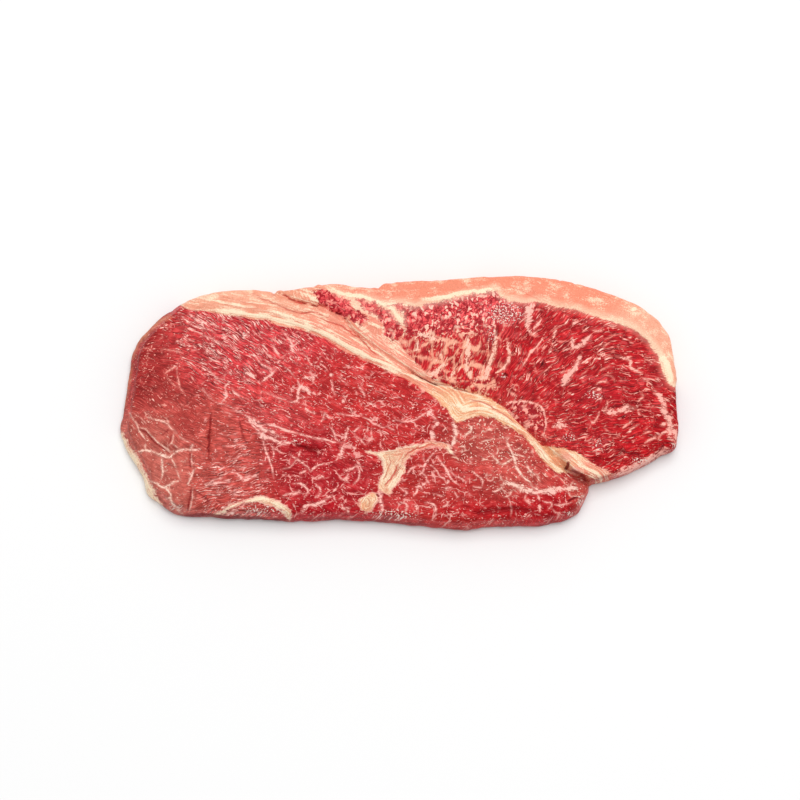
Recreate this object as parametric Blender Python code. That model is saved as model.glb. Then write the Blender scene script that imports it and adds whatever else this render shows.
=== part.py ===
"""A raw rump steak, cut across two muscles, lying flat on its cut underside.

The steak is one solid. It is drawn in plan, in millimetres, as an outline and a few
lines: the groove between the two muscles, the borders of the fat, and the folds and
cracks of the cut face. The top is a height above the plan, made of a thickness, some
broad bulges and the relief along each line. The wall is a stack of rings round the
outline, and the underside is flat.

The frame has +X along the steak, +Y towards its fat cap and +Z up. The origin is under
the middle of the steak's box, on the surface that it lies on.
"""

import bpy
import bmesh
import numpy as np
from mathutils.geometry import delaunay_2d_cdt

MM = 0.001

# Driving sizes, in millimetres.
THICKNESS = 17.5
SPACING = 3.3
FOOT_ROUND = 1.6
TOP_ROUND = 2.6
SMALLEST_INSET = 0.8
LEFT_SLOPE = 3.7
FRONT_SLOPE = 1.2

# Where the left end's slope starts and how far it takes to grow, along X, then the front's, along Y.
LEFT_FROM, LEFT_REACH = -98, 26
FRONT_FROM, FRONT_REACH = -44, 10

# How close a point of the top may come to the rim or to a line of relief.
LINE_CLEAR = 0.55 * SPACING
LATTICE_CLEAR = 0.6 * SPACING

CREASE_SHARPNESS = 1.4
STEPS_PER_SPAN = 40
SHARP_DEGREES = 50

LEAN_COLOUR, LEAN_ROUGHNESS = (0.42, 0.045, 0.05), 0.35
FAT_COLOUR, FAT_ROUGHNESS = (0.86, 0.50, 0.34), 0.45

# Each ring of the wall: its share of the foot's round, of the side's slope and of the top's
# round, as insets, then its share of the height and its fall below the top in top rounds.
WALL_RINGS = (
    (1.00, 0.00, 0.00, 0.00, 0.0),
    (0.28, 0.00, 0.00, 0.07, 0.0),
    (0.00, 0.00, 0.00, 0.30, 0.0),
    (0.00, 0.35, 0.00, 0.62, 0.0),
    (0.00, 1.00, 0.00, 1.00, 1.0),
    (0.00, 1.00, 0.30, 1.00, 0.3),
    (0.00, 1.00, 1.00, 1.00, 0.0),
)

# The outline seen from above, anticlockwise from the notch where the groove starts.
OUTLINE = (
    (-62.5, 55.5), (-74, 56.5), (-95, 54.5), (-109.5, 50), (-118.5, 44), (-129, 34.5),
    (-132.5, 27), (-134.5, 15), (-137, -3), (-138.5, -12.5), (-136.5, -20), (-129, -33),
    (-120.5, -48), (-109, -55.5), (-99, -56.5), (-64, -58), (-48, -59), (-33.5, -58),
    (-8.5, -59), (20.5, -62), (31.5, -63), (46, -61.5), (75, -60), (83.5, -58),
    (90.5, -54), (94.5, -46), (95.5, -41), (104, -38.5), (121.5, -31.5), (135.5, -23.5),
    (138, -19), (138.5, -1), (138, 16), (135, 30), (130, 40), (122, 46.5), (111, 52),
    (97, 57), (82, 61), (67, 63), (47, 63), (17.5, 61), (-6, 59), (-11.5, 57.5),
    (-20.5, 57.5), (-30, 59.5), (-44, 58),
)

GROOVE = (
    (-61.5, 55), (-54, 52), (-48, 50), (-38.5, 47.5), (-32, 45), (-27.5, 41.5),
    (-22.5, 35.5), (-16.5, 30.5), (-9.5, 25), (-1.5, 19.5), (4.5, 15.5), (12.5, 11),
    (20, 7.5), (28, 6), (37.5, 3.5), (46, 0.5), (52.5, -4), (59, -10.5), (67, -18),
    (73, -24), (78.5, -29.5), (83.5, -34), (88, -37.5), (93.5, -42),
)

SEAM_EDGE = (
    (-105, 46.5), (-82.5, 42.5), (-58.5, 39), (-46.5, 35.5), (-33.5, 29.5), (-14.5, 19),
    (4, 11.5), (15.5, 5), (24, 0), (28, -6.5), (32, -9.5), (39, -8), (52.5, -12.5),
    (66.5, -22.5), (70, -28), (75.5, -33), (81.5, -37),
)

CAP_EDGE = (
    (-25.5, 55), (-11, 54), (16.5, 56), (31.5, 55.5), (59, 55.5), (66.5, 54.5), (73, 50),
    (84, 46.5), (99.5, 42.5), (114.5, 36), (121.5, 31.5), (127.5, 25.5), (131, 19),
    (135, 11),
)

FAT_WEDGE = (
    (-18.5, -24.5), (-12, -26), (-8, -31), (-7.5, -39), (-9.5, -43.5), (-6, -48),
    (-3, -43), (3.5, -33.5), (7.5, -26), (16.5, -21.5), (24, -23), (16.5, -19),
    (5.5, -20.5), (-6.5, -24.5),
)

# Each line of relief: its points, its heights spread evenly along it, and its half width.
RELIEF = (
    (GROOVE, (-1.2, -1.8, -2.4, -1.4, -1.6, -2.4, -2.0, -1.2, -1.6, -4.5, -6.5), 4.2),
    (SEAM_EDGE, (-0.5, -0.7, -0.7, -0.6, -0.5), 3.6),
    (CAP_EDGE, (-0.4, -0.7, -0.7, -0.8), 4.0),
    (FAT_WEDGE, (-0.5, -0.6, -0.5), 3.2),
    (((-76.5, 54), (-59.5, 47.5), (-46.5, 44), (-28.5, 38), (-10.5, 24), (-4.5, 19.5)),
     (-0.7, -0.8), 3.4),
    (((-100, 50.5), (-88, 49), (-70, 46.5), (-46.5, 40), (-31, 33.5), (-12, 22)), (0.8, 1.0, 0.7), 4.0),
    (((-78.5, -51), (-70, -48), (-62, -47.5), (-55, -50), (-50.5, -54)), (-0.6, -1.1, -0.8), 3.4),
    (((-128, -15.5), (-121, -19), (-114, -24), (-110, -27)), (-0.9,), 3.2),
    (((-93, -6.5), (-93, -19), (-93, -30.5)), (-1.0,), 3.4),
    (((-102.5, -24.5), (-101.5, -32), (-101.5, -47.5), (-103, -53)), (-0.9,), 3.2),
    (((-51.5, -22.5), (-45.5, -24), (-39, -25)), (-1.5,), 3.2),
    (((38, -56.5), (53.5, -54.5), (68, -55)), (-1.3, -1.6, -1.2), 3.4),
    (((98, -29), (104.5, -30.5), (112, -31.5)), (-1.0,), 3.2),
    (((79, -27), (82, -31), (85, -34.5)), (-2.5, -3.5), 3.4),
)

# Each broad bulge of the top: its centre, its reach along X and Y, and its height.
BULGES = (
    ((72, 16), (62, 34), 3.0),
    ((-62, 6), (62, 44), 1.3),
    ((-140, -8), (34, 60), -4.2),
    ((48, -34), (34, 20), 1.0),
    ((-4, -36), (12, 16), -1.3),
    ((-10, -68), (110, 16), -2.6),
    ((132, -34), (30, 20), -3.2),
    ((92, -60), (16, 22), -2.2),
    ((-88, 62), (48, 16), -1.8),
    ((14, 34), (26, 16), -1.0),
)

# Each gentle wave of the top: its length, the way that it runs in degrees, its phase, its height.
WAVES = (
    (71, 12, 0.4, 0.20), (58, 74, 2.2, 0.18), (47, 133, 1.1, 0.16), (39, 38, 3.6, 0.12),
    (33, 101, 5.0, 0.11), (27, 160, 0.8, 0.09), (21, 57, 2.9, 0.07),
)

# The areas that are fat, as corners in plan. They may run past the outline.
FAT_AREAS = (
    GROOVE + tuple(reversed(SEAM_EDGE)) + ((-112, 62), (-64, 62)),
    CAP_EDGE + ((142, 8), (142, 70), (-80, 70), (-60, 55)),
    GROOVE[:11] + ((8, 24), (-2, 34), (-14, 46), (-30, 56)),
    FAT_WEDGE,
    ((-81, -62), (-78.5, -51), (-62, -47.5), (-50.5, -54), (-52, -62)),
)


def curve_through(points, spacing, closed=False):
    """Even samples of a smooth curve through points: on each span a cubic whose end slopes
    are those of the parabola through three neighbours."""
    knots = np.array(points, float)
    if closed:
        knots = np.concatenate([knots[-1:], knots, knots[:2]])
    else:
        knots = np.concatenate([2 * knots[:1] - knots[1:2], knots, 2 * knots[-1:] - knots[-2:-1]])
    steps = np.diff(knots, axis=0)
    lengths = np.linalg.norm(steps, axis=1)[:, None]
    slopes = steps / lengths
    tangents = (slopes[:-1] * lengths[1:] + slopes[1:] * lengths[:-1]) / (lengths[:-1] + lengths[1:])
    start, end, length = knots[1:-2, None], knots[2:-1, None], lengths[1:-1, None]
    share = np.linspace(0, 1, STEPS_PER_SPAN, endpoint=False)[None, :, None]
    dense = (
        start * (2 * share**3 - 3 * share**2 + 1)
        + end * (3 * share**2 - 2 * share**3)
        + tangents[:-1, None] * length * (share**3 - 2 * share**2 + share)
        + tangents[1:, None] * length * (share**3 - share**2)
    ).reshape(-1, 2)
    dense = np.concatenate([dense, knots[-2:-1]])
    travel = np.concatenate([[0], np.cumsum(np.linalg.norm(np.diff(dense, axis=0), axis=1))])
    count = max(2, round(travel[-1] / spacing))
    at = np.linspace(0, travel[-1], count + 1)
    samples = np.stack([np.interp(at, travel, dense[:, axis]) for axis in (0, 1)], axis=1)
    return samples[:-1] if closed else samples


def distance_to_line(at, line):
    """Each point's distance to a line of points, and the share of the line passed there."""
    start, step = line[:-1], np.diff(line, axis=0)
    length = np.maximum(np.linalg.norm(step, axis=1), 1e-9)
    away = at[:, None] - start[None]
    share = np.clip((away * step).sum(2) / length**2, 0, 1)
    gap = np.linalg.norm(away - share[..., None] * step, axis=2)
    nearest = gap.argmin(axis=1)
    row = np.arange(len(at))
    passed = np.concatenate([[0], np.cumsum(length)])
    along = passed[nearest] + share[row, nearest] * length[nearest]
    return gap[row, nearest], along / passed[-1]


def inside(at, corners):
    """Whether each point is inside a closed polygon, by counting the edges to its right."""
    x, y = at[:, 0, None], at[:, 1, None]
    first, second = corners, np.roll(corners, -1, axis=0)
    spans = (first[:, 1] > y) != (second[:, 1] > y)
    rise = np.where(first[:, 1] == second[:, 1], 1, second[:, 1] - first[:, 1])
    crossing = first[:, 0] + (y - first[:, 1]) * (second[:, 0] - first[:, 0]) / rise
    return (spans & (x < crossing)).sum(axis=1) % 2 == 1


def smooth_step(value):
    value = np.clip(value, 0, 1)
    return value * value * (3 - 2 * value)


def top_height(at):
    """The top's height in millimetres at each point of the plan."""
    x, y = at[:, 0], at[:, 1]
    height = np.full(len(at), THICKNESS)
    for (cx, cy), (rx, ry), rise in BULGES:
        height += rise * np.exp(-(((x - cx) / rx) ** 2) - ((y - cy) / ry) ** 2)
    for length, turn, phase, rise in WAVES:
        run = x * np.cos(np.radians(turn)) + y * np.sin(np.radians(turn))
        height += rise * np.sin(run * 2 * np.pi / length + phase)
    for points, rises, half_width in RELIEF:
        gap, share = distance_to_line(at, curve_through(points, SPACING))
        rise = np.interp(share, np.linspace(0, 1, len(rises)), rises)
        height += rise * (1 - smooth_step(gap / half_width)) ** CREASE_SHARPNESS
    return height


def inward_normals(ring):
    """The inward direction at each point of an anticlockwise ring, averaged over neighbours."""
    tangent = sum(np.roll(ring, -k, axis=0) - np.roll(ring, k, axis=0) for k in (1, 2, 3))
    tangent /= np.linalg.norm(tangent, axis=1)[:, None]
    return np.stack([-tangent[:, 1], tangent[:, 0]], axis=1)


def wall_rings(outline):
    """The wall's rings from the foot to the rim of the top, as points in three dimensions."""
    x, y = outline[:, 0], outline[:, 1]
    normal = inward_normals(outline)
    left = smooth_step((LEFT_FROM - x) / LEFT_REACH)
    front = smooth_step((FRONT_FROM - y) / FRONT_REACH)
    slope = SMALLEST_INSET + LEFT_SLOPE * left + FRONT_SLOPE * front * (1 - left)
    rings = []
    for foot, side, top, share, fall in WALL_RINGS:
        inset = foot * FOOT_ROUND + side * slope + top * TOP_ROUND
        plan = outline + normal * inset[:, None]
        height = share * top_height(plan) - fall * TOP_ROUND
        rings.append(np.column_stack([plan, height]))
    return rings


def top_points(rim):
    """The points of the top inside its rim, and the edges that its triangles must keep."""
    numbers = np.arange(len(rim))
    points, edges = [rim], [np.column_stack([numbers, np.roll(numbers, -1)])]
    closed_rim = np.concatenate([rim, rim[:1]])
    count = len(rim)
    lines = []
    for relief_points, _, _ in RELIEF:
        line = curve_through(relief_points, SPACING)
        kept = inside(line, rim) & (distance_to_line(line, closed_rim)[0] > LINE_CLEAR)
        for other in lines:
            kept &= distance_to_line(line, other)[0] > LINE_CLEAR
        index = np.where(kept)[0]
        new = np.full(len(line), -1)
        new[index] = count + np.arange(len(index))
        pairs = np.column_stack([new[:-1], new[1:]])
        points.append(line[index])
        edges.append(pairs[(pairs >= 0).all(axis=1)])
        lines.append(line)
        count += len(index)
    row_height = SPACING * np.sqrt(0.75)
    low, high = rim.min(axis=0), rim.max(axis=0)
    columns = np.arange(low[0], high[0], SPACING)
    rows = np.arange(low[1], high[1], row_height)
    lattice = np.stack(np.meshgrid(columns, rows), axis=-1)
    lattice[1::2, :, 0] += SPACING / 2
    lattice = lattice.reshape(-1, 2)
    kept = inside(lattice, rim) & (distance_to_line(lattice, closed_rim)[0] > LATTICE_CLEAR)
    for line in lines:
        kept &= distance_to_line(lattice, line)[0] > LATTICE_CLEAR
    points.append(lattice[kept])
    return np.concatenate(points), np.concatenate(edges)


def meat_material(name, colour, roughness):
    material = bpy.data.materials.new(name)
    material.use_nodes = True
    shader = material.node_tree.nodes["Principled BSDF"]
    shader.inputs["Base Color"].default_value = (*colour, 1)
    shader.inputs["Roughness"].default_value = roughness
    shader.inputs["Metallic"].default_value = 0
    return material


def build_steak():
    outline = curve_through(OUTLINE, SPACING, closed=True)
    rings = wall_rings(outline)
    plan, edges = top_points(rings[-1][:, :2])
    triangulated = delaunay_2d_cdt(plan.tolist(), edges.tolist(), [], 1, 1e-6)
    flat, faces, sources = triangulated[0], triangulated[2], triangulated[3]
    flat = np.array([tuple(point) for point in flat])
    middle = (outline.min(axis=0) + outline.max(axis=0)) / 2
    shift = np.array([*middle, 0])

    work = bmesh.new()
    made = [[work.verts.new((point - shift) * MM) for point in ring] for ring in rings]
    size = len(outline)
    for lower, upper in zip(made[:-1], made[1:]):
        for i in range(size):
            j = (i + 1) % size
            work.faces.new((lower[i], lower[j], upper[j], upper[i]))
    work.faces.new(list(reversed(made[0])))
    heights = top_height(flat)
    vertices = []
    for point, height, source in zip(flat, heights, sources):
        on_rim = [index for index in source if index < size]
        if on_rim:
            vertices.append(made[-1][on_rim[0]])
        else:
            vertices.append(work.verts.new((np.array([*point, height]) - shift) * MM))
    for face in faces:
        work.faces.new([vertices[index] for index in face])
    bmesh.ops.recalc_face_normals(work, faces=work.faces)

    work.faces.ensure_lookup_table()
    centres = np.array([face.calc_center_median()[:2] for face in work.faces]) / MM + middle
    fatty = np.zeros(len(centres), bool)
    for area in FAT_AREAS:
        fatty |= inside(centres, np.array(area, float))
    for face, is_fat in zip(work.faces, fatty):
        face.material_index = int(is_fat)
        face.smooth = True

    mesh = bpy.data.meshes.new("steak")
    work.to_mesh(mesh)
    work.free()
    mesh.set_sharp_from_angle(angle=np.radians(SHARP_DEGREES))
    mesh.materials.append(meat_material("lean", LEAN_COLOUR, LEAN_ROUGHNESS))
    mesh.materials.append(meat_material("fat", FAT_COLOUR, FAT_ROUGHNESS))
    steak = bpy.data.objects.new("steak", mesh)
    bpy.context.scene.collection.objects.link(steak)
    return steak


def main():
    for found in list(bpy.data.objects):
        bpy.data.objects.remove(found, do_unlink=True)
    build_steak()


main()
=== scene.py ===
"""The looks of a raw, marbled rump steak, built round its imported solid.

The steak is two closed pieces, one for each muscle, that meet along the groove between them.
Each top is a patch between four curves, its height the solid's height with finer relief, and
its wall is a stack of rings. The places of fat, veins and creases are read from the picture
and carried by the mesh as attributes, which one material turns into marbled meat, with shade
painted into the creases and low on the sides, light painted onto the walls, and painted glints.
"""

import bpy
import numpy as np
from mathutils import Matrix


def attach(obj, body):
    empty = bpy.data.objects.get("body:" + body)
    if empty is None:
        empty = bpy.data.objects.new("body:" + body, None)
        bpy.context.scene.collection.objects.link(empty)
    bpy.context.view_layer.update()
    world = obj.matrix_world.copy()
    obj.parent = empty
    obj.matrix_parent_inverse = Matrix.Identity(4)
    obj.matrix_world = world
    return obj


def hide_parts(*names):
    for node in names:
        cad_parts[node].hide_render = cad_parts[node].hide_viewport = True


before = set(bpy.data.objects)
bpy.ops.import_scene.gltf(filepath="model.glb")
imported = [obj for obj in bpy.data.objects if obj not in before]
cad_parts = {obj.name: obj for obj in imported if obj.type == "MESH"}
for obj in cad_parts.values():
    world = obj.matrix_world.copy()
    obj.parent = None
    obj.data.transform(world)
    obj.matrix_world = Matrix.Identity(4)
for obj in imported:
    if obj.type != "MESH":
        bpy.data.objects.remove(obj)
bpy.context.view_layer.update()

bl_info = {
    "name": "Raw marbled steak",
    "version": (1, 0, 0),
    "blender": (4, 5, 0),
    "location": "View3D > Sidebar > Steak",
    "description": "Builds the two muscles of a raw steak with their marbling, and a plain stage",
    "category": "Add Mesh",
}

MM = 0.001

# The picture: its width and height in pixels, and the height at which its points are read.
PICTURE = 800
READ_HEIGHT = 18.0

# The camera, in degrees and millimetres. It looks along +Y at a point of the plan.
ELEVATION = 80.0
CAMERA_DISTANCE = 1000.0
CAMERA_AIM = (1.5, 1.4, 10.0)
LENS = 90.0
SENSOR = 36.0

# The soft light's place beside and behind the steak's middle, in metres.
LAMP_PLACE = (0.40, 1.05)

# The floor's shade of grey, in linear light, and how dull it is.
FLOOR_SHADE, FLOOR_ROUGHNESS = 0.78, 0.9

# How much light falls on a level surface, and what gloss adds to what is seen of it.
LIGHT_LEVEL = 1.24
HAZE = 0.009
LEAST_ALBEDO = 0.004

# The solid's own sizes, in millimetres.
THICKNESS = 17.5
FOOT_ROUND = 1.6
TOP_ROUND = 2.6
GROOVE_LIP = 0.9
SMALLEST_INSET = 0.8
LEFT_SLOPE = 3.7
FRONT_SLOPE = 1.2
LEFT_FROM, LEFT_REACH = -98, 26
FRONT_FROM, FRONT_REACH = -44, 10
SLOPE_START, SLOPE_POWER = 0.3, 1.3
CREASE_SHARPNESS = 1.4
STEPS_PER_SPAN = 40
CAD_SPACING = 3.3
NORMAL_WINDOW = 6.6

# The outline seen from above, anticlockwise from the notch where the groove starts.
OUTLINE = (
    (-62.5, 55.5), (-74, 56.5), (-95, 54.5), (-109.5, 50), (-118.5, 44), (-129, 34.5),
    (-132.5, 27), (-134.5, 15), (-137, -3), (-138.5, -12.5), (-136.5, -20), (-129, -33),
    (-120.5, -48), (-109, -55.5), (-99, -56.5), (-64, -58), (-48, -59), (-33.5, -58),
    (-8.5, -59), (20.5, -62), (31.5, -63), (46, -61.5), (75, -60), (83.5, -58),
    (90.5, -54), (94.5, -46), (95.5, -41), (104, -38.5), (121.5, -31.5), (135.5, -23.5),
    (138, -19), (138.5, -1), (138, 16), (135, 30), (130, 40), (122, 46.5), (111, 52),
    (97, 57), (82, 61), (67, 63), (47, 63), (17.5, 61), (-6, 59), (-11.5, 57.5),
    (-20.5, 57.5), (-30, 59.5), (-44, 58),
)

# The outline's knots that are corners of the two patches.
NOTCH, BACK_LEFT, FRONT_LEFT, FRONT_RIGHT, GAP, END_FRONT, END_BACK = 0, 3, 13, 23, 26, 30, 35

GROOVE = (
    (-62.5, 55.5), (-54, 52), (-48, 50), (-38.5, 47.5), (-32, 45), (-27.5, 41.5),
    (-22.5, 35.5), (-16.5, 30.5), (-9.5, 25), (-1.5, 19.5), (4.5, 15.5), (12.5, 11),
    (20, 7.5), (28, 6), (37.5, 3.5), (46, 0.5), (52.5, -4), (59, -10.5), (67, -18),
    (73, -24), (78.5, -29.5), (83.5, -34), (88, -37.5), (95.5, -41),
)

# The grids: cells along and across each top, how many fine cells one cell of the underside
# spans, how far the underside's grid stays in, and the short left side of the upper patch.
LOWER_CELLS = (430, 180)
UPPER_CELLS = (440, 150)
COARSE = 5
UNDER_INSET = 1.5
TIP_LENGTH = 2.0

# The length over which the wall turns upright along the groove, and edges that are shown sharp.
CORNER_FADE = 9.0
SHARP_ANGLE = 55.0

# The fine relief: lumps on the wall, which differ from ring to ring, the fall towards the
# outline, and the rise and the depth of what is drawn.
SIDE_LUMPS, SIDE_LUMP_SIZE, RING_SHIFT = 0.35, 5.0, 40
SHOULDER_FALL, SHOULDER_REACH = 1.5, 11.0
CREAM_RISE, LINE_DEPTH = 0.3, 0.35

# How finely lines are sampled: the outline and the groove, what is drawn, and the guides of
# the fat's layers. The cap's layers start so far along, clear of the seam's.
OUTLINE_SPACING, DRAWN_SPACING, GUIDE_SPACING = 0.5, 1.0, 2.0
CAP_TRAVEL = 300

# How far drawn lines fade beyond their half widths, and over how many of its half widths a
# crease slopes.
CREAM_SPREAD, LINE_SPREAD, CREASE_SPREAD, TAN_SPREAD = 0.8, 0.25, 0.4, 1.0
CREASE_WIDTHS = 1.6

# How far from an area's border, from a small area's border and from a vein distances count.
DEPTH_REACH, EDGE_REACH, VEIN_REACH = 12.0, 3.0, 3.0

# The width over which coarse grain sets in and ragged fat begins, outside their areas, and over
# which freckles set in, inside theirs.
GRAIN_FADE, RAGGED_FADE, FRECKLE_FADE = 2, 3, 2

# How narrow a vein gets at its ends, as a share of its half width.
VEIN_END = 0.3

# Where the side starts below the top, and the depth over which it takes over.
SIDE_FROM, SIDE_REACH = 3.0, 8.0

# Random heights: the table's size, and a seed for each use.
LATTICE = (97, 89)
LUMP_SEED, EDGE_SEED, STRAY_SEED, BUNDLE_SEED = 11, 30, 50, 70

# The least weight of every place, however far off.
LEAST_MUSCLE, LEAST_FAT = 1e-4, 1e-5

# How far the wall's patterns slip sideways for each millimetre down, so that they aren't drawn out, and how
# much lighter its colours are painted than the top's, down to a depth: painted light that makes up for the
# light that the wall's slope doesn't get.
WALL_SLIP = (0.4, 0.3)
WALL_PAINTED_LIGHT, WALL_PAINTED_LIGHT_DEPTH = 0.22, 3.0

# How much of the seam's layering the fat cap has.
CAP_LAYERS = 0.15

# Small dents of the outline, as seen: the place, its reach and how far it goes in.
DENTS = (
    ((273.5, 291), 1.0, 1.0), ((279, 288), 1.6, -0.7), ((318, 285), 1.2, -0.6), ((378, 286.5), 1.2, 0.8),
    ((385, 283.5), 1.6, -0.6), ((560, 281), 1.0, 0.5), ((575, 284), 1.0, 0.5), ((172, 316), 2.2, 0.6),
    ((205, 517), 3.0, 0.4), ((262, 521), 2.0, -0.4), ((300, 520), 3.0, 0.5),
    ((676, 444), 3.5, -1.3), ((147, 487), 5.0, -1.5), ((666, 338), 6.0, -1.0), ((124, 428), 5.0, -0.5),
    ((151, 331), 8.0, 1.6), ((175, 312), 5.0, 1.2), ((587, 500), 9.0, 1.5), ((665, 456), 4.5, 1.6),
)

# How all of the outline wavers: the size of each wave and how far it moves the edge.
EDGE_WAVER = ((6.0, 0.28), (2.2, 0.14))

# How far the outline swells past the solid's, where it faces right and where it faces back.
SWELL = (1.4, 1.5)

# How drawn lines waver: the size of each wave and how far it moves them.
STRAYS = ((6.0, 0.55), (2.4, 0.32), (1.1, 0.16))

# The wall's rings, as angles of the foot's round, shares of the side, and angles of the top's.
FOOT_ANGLES = (0, 35, 70)
SIDE_SHARES = (0.08, 0.3, 0.5, 0.7, 0.88)
TOP_ANGLES = (0, 22.5, 45, 67.5, 90)

# Where the solid's top is creased: the edges of the seam and of the cap, and round the wedge.
SEAM_EDGE = (
    (-105, 46.5), (-82.5, 42.5), (-58.5, 39), (-46.5, 35.5), (-33.5, 29.5), (-14.5, 19),
    (4, 11.5), (15.5, 5), (24, 0), (28, -6.5), (32, -9.5), (39, -8), (52.5, -12.5),
    (66.5, -22.5), (70, -28), (75.5, -33), (81.5, -37),
)
CAP_EDGE = (
    (-25.5, 55), (-11, 54), (16.5, 56), (31.5, 55.5), (59, 55.5), (66.5, 54.5), (73, 50),
    (84, 46.5), (99.5, 42.5), (114.5, 36), (121.5, 31.5), (127.5, 25.5), (131, 19),
    (135, 11),
)
FAT_WEDGE = (
    (-18.5, -24.5), (-12, -26), (-8, -31), (-7.5, -39), (-9.5, -43.5), (-6, -48),
    (-3, -43), (3.5, -33.5), (7.5, -26), (16.5, -21.5), (24, -23), (16.5, -19),
    (5.5, -20.5), (-6.5, -24.5),
)

# The broad relief, in plan millimetres: points, heights spread along them, and half width.
RELIEF = (
    (GROOVE, (-1.2, -1.8, -2.4, -1.4, -1.6, -2.4, -2.0, -1.2, -1.6, -4.5, -6.5), 3.0),
    (SEAM_EDGE, (-0.5, -0.7, -0.7, -0.6, -0.5), 2.6),
    (CAP_EDGE, (-0.4, -0.7, -0.7, -0.8), 3.4),
    (FAT_WEDGE, (-0.5, -0.6, -0.5), 2.2),
    (((-76.5, 54), (-59.5, 47.5), (-46.5, 44), (-28.5, 38), (-10.5, 24), (-4.5, 19.5)),
     (-0.7, -0.8), 2.6),
    (((-100, 50.5), (-88, 49), (-70, 46.5), (-46.5, 40), (-31, 33.5), (-12, 22)), (0.8, 1.0, 0.7), 4.0),
    (((-78.5, -51), (-70, -48), (-62, -47.5), (-55, -50), (-50.5, -54)), (-0.6, -1.1, -0.8), 2.6),
    (((-128, -15.5), (-121, -19), (-114, -24), (-110, -27)), (-0.9,), 2.2),
    (((-93, -6.5), (-93, -19), (-93, -30.5)), (-1.0,), 2.6),
    (((-102.5, -24.5), (-101.5, -32), (-101.5, -47.5), (-103, -53)), (-0.9,), 2.4),
    (((-51.5, -22.5), (-45.5, -24), (-39, -25)), (-1.5,), 2.2),
    (((38, -56.5), (53.5, -54.5), (68, -55)), (-1.3, -1.6, -1.2), 2.6),
    (((98, -29), (104.5, -30.5), (112, -31.5)), (-1.0,), 2.0),
    (((79, -27), (82, -31), (85, -34.5)), (-2.5, -3.5), 2.4),
)

# Each broad bulge of the top: its centre, its reach along X and Y, and its height.
BULGES = (
    ((72, 16), (62, 34), 3.0),
    ((-62, 6), (62, 44), 1.3),
    ((-140, -8), (34, 60), -4.2),
    ((48, -34), (34, 20), 1.0),
    ((-4, -36), (12, 16), -1.3),
    ((-10, -68), (110, 16), -2.6),
    ((132, -34), (30, 20), -3.2),
    ((92, -60), (16, 22), -2.2),
    ((-88, 62), (48, 16), -1.8),
    ((14, 34), (26, 16), -1.0),
)

# Each gentle wave of the top: its length, the way that it runs in degrees, its phase, its height.
WAVES = (
    (71, 12, 0.4, 0.20), (58, 74, 2.2, 0.18), (47, 133, 1.1, 0.16), (39, 38, 3.6, 0.12),
    (33, 101, 5.0, 0.11), (27, 160, 0.8, 0.09), (21, 57, 2.9, 0.07),
)

# From here on, places are points of the picture, in pixels, with widths and depths in millimetres.

# The border of the fat seam against the lower muscle, and of the fat against the upper muscle.
SEAM_LINE = (
    (176, 303), (188, 308.5), (202, 310), (222, 313.5), (243, 317), (263, 320), (284, 325), (304, 330.5),
    (320, 336.5), (335, 344.5), (351, 353), (369, 362), (386, 370), (400, 376.5), (421, 387),
    (437, 399), (441, 405), (447, 410), (451, 417), (455.5, 422), (461.5, 421), (472, 417),
    (482, 416), (494, 418), (502.5, 423.5), (510.5, 427.5), (523, 435.5), (532, 444.5), (538, 454),
    (545, 462), (553.5, 470), (559.5, 473.5), (568, 471), (572, 466),
)
UPPER_LINE = (
    (385, 303), (402, 312), (404, 330), (400, 345), (410, 358), (422, 368), (432, 378), (445, 385),
    (455, 388), (470, 392), (484, 396), (491, 399), (500, 406), (507, 412), (513, 420), (522, 431),
    (532, 440), (540, 447), (551, 447.5), (565.5, 449), (576.5, 453), (586, 459.5), (595, 465),
    (604.5, 470.5), (614, 475.5),
)
CAP_LINE = (
    (320, 292), (332, 292), (344, 295.5), (364, 299), (386, 305), (402, 303.5), (414, 306), (423, 305),
    (434, 303.5), (445, 300), (458, 297.5), (474, 293), (487, 291.5), (497, 290), (500, 295.5),
    (511, 301), (520, 303.5), (533.5, 301.5), (545.5, 303), (557.5, 307), (573.5, 309.5), (587, 313),
    (598, 316), (611, 321), (624.5, 325), (634, 329), (642, 335.5), (650, 345), (658, 353),
    (660.5, 362.5), (664.5, 374.5), (669, 384), (673.5, 387), (681, 387),
)

# Corners outside the steak that close each area of fat.
ABOVE_SEAM = ((640, 440), (640, 240), (170, 240), (160, 296))
BELOW_UPPER = ((604, 492), (560, 480), (450, 400), (300, 330), (250, 290), (260, 270), (385, 270))
BEYOND_CAP = ((720, 387), (720, 240), (300, 240))

# Areas of fat inside the muscles: the wedge with its fork, the node below it, the crescent,
# and the rim of the left side.
WEDGE = (
    (357, 448.5), (366, 450.5), (375, 451.5), (382, 451.5), (390.5, 448.5), (401, 446.5), (411, 444.5),
    (421, 442), (429, 440), (435, 441), (446, 443), (450, 446.5), (456, 453.5), (460, 460.5),
    (453, 454.5), (447, 450), (440, 448.5), (429, 447), (418.5, 449.5), (409.5, 457.5), (403.5, 465),
    (406, 469), (404.5, 474), (397, 483), (392, 492), (389, 496), (384, 494.5), (379, 489.5),
    (378, 483), (381.5, 475.5), (383, 467.5), (380.5, 460), (375, 455), (363.5, 451),
)
LOWER_NODE = (
    (358.5, 501), (363.5, 495.5), (372.5, 493), (376.5, 495), (378, 501), (372.5, 511), (366.5, 513.5),
    (361, 511), (358.5, 506),
)
CRESCENT = (
    (206, 517), (222.5, 510), (234.5, 503), (247, 498), (258, 495.5), (268, 496.5), (278.5, 500),
    (286, 506), (292.5, 512), (289, 520), (285.5, 519), (283.5, 513.5), (277, 508.5), (269.5, 504.5),
    (259, 502), (250, 502), (240, 504.5), (226.5, 513), (214, 518),
)
LEFT_RIM = (
    (118, 430), (124, 449.5), (130, 460.5), (136, 472), (141, 484), (145, 493), (151, 500), (160, 506),
    (161, 502.5), (156, 495.5), (152.5, 488), (149, 480), (144, 471.5), (140.5, 464), (137, 456.5),
    (130, 446.5), (124, 433),
)
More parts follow.
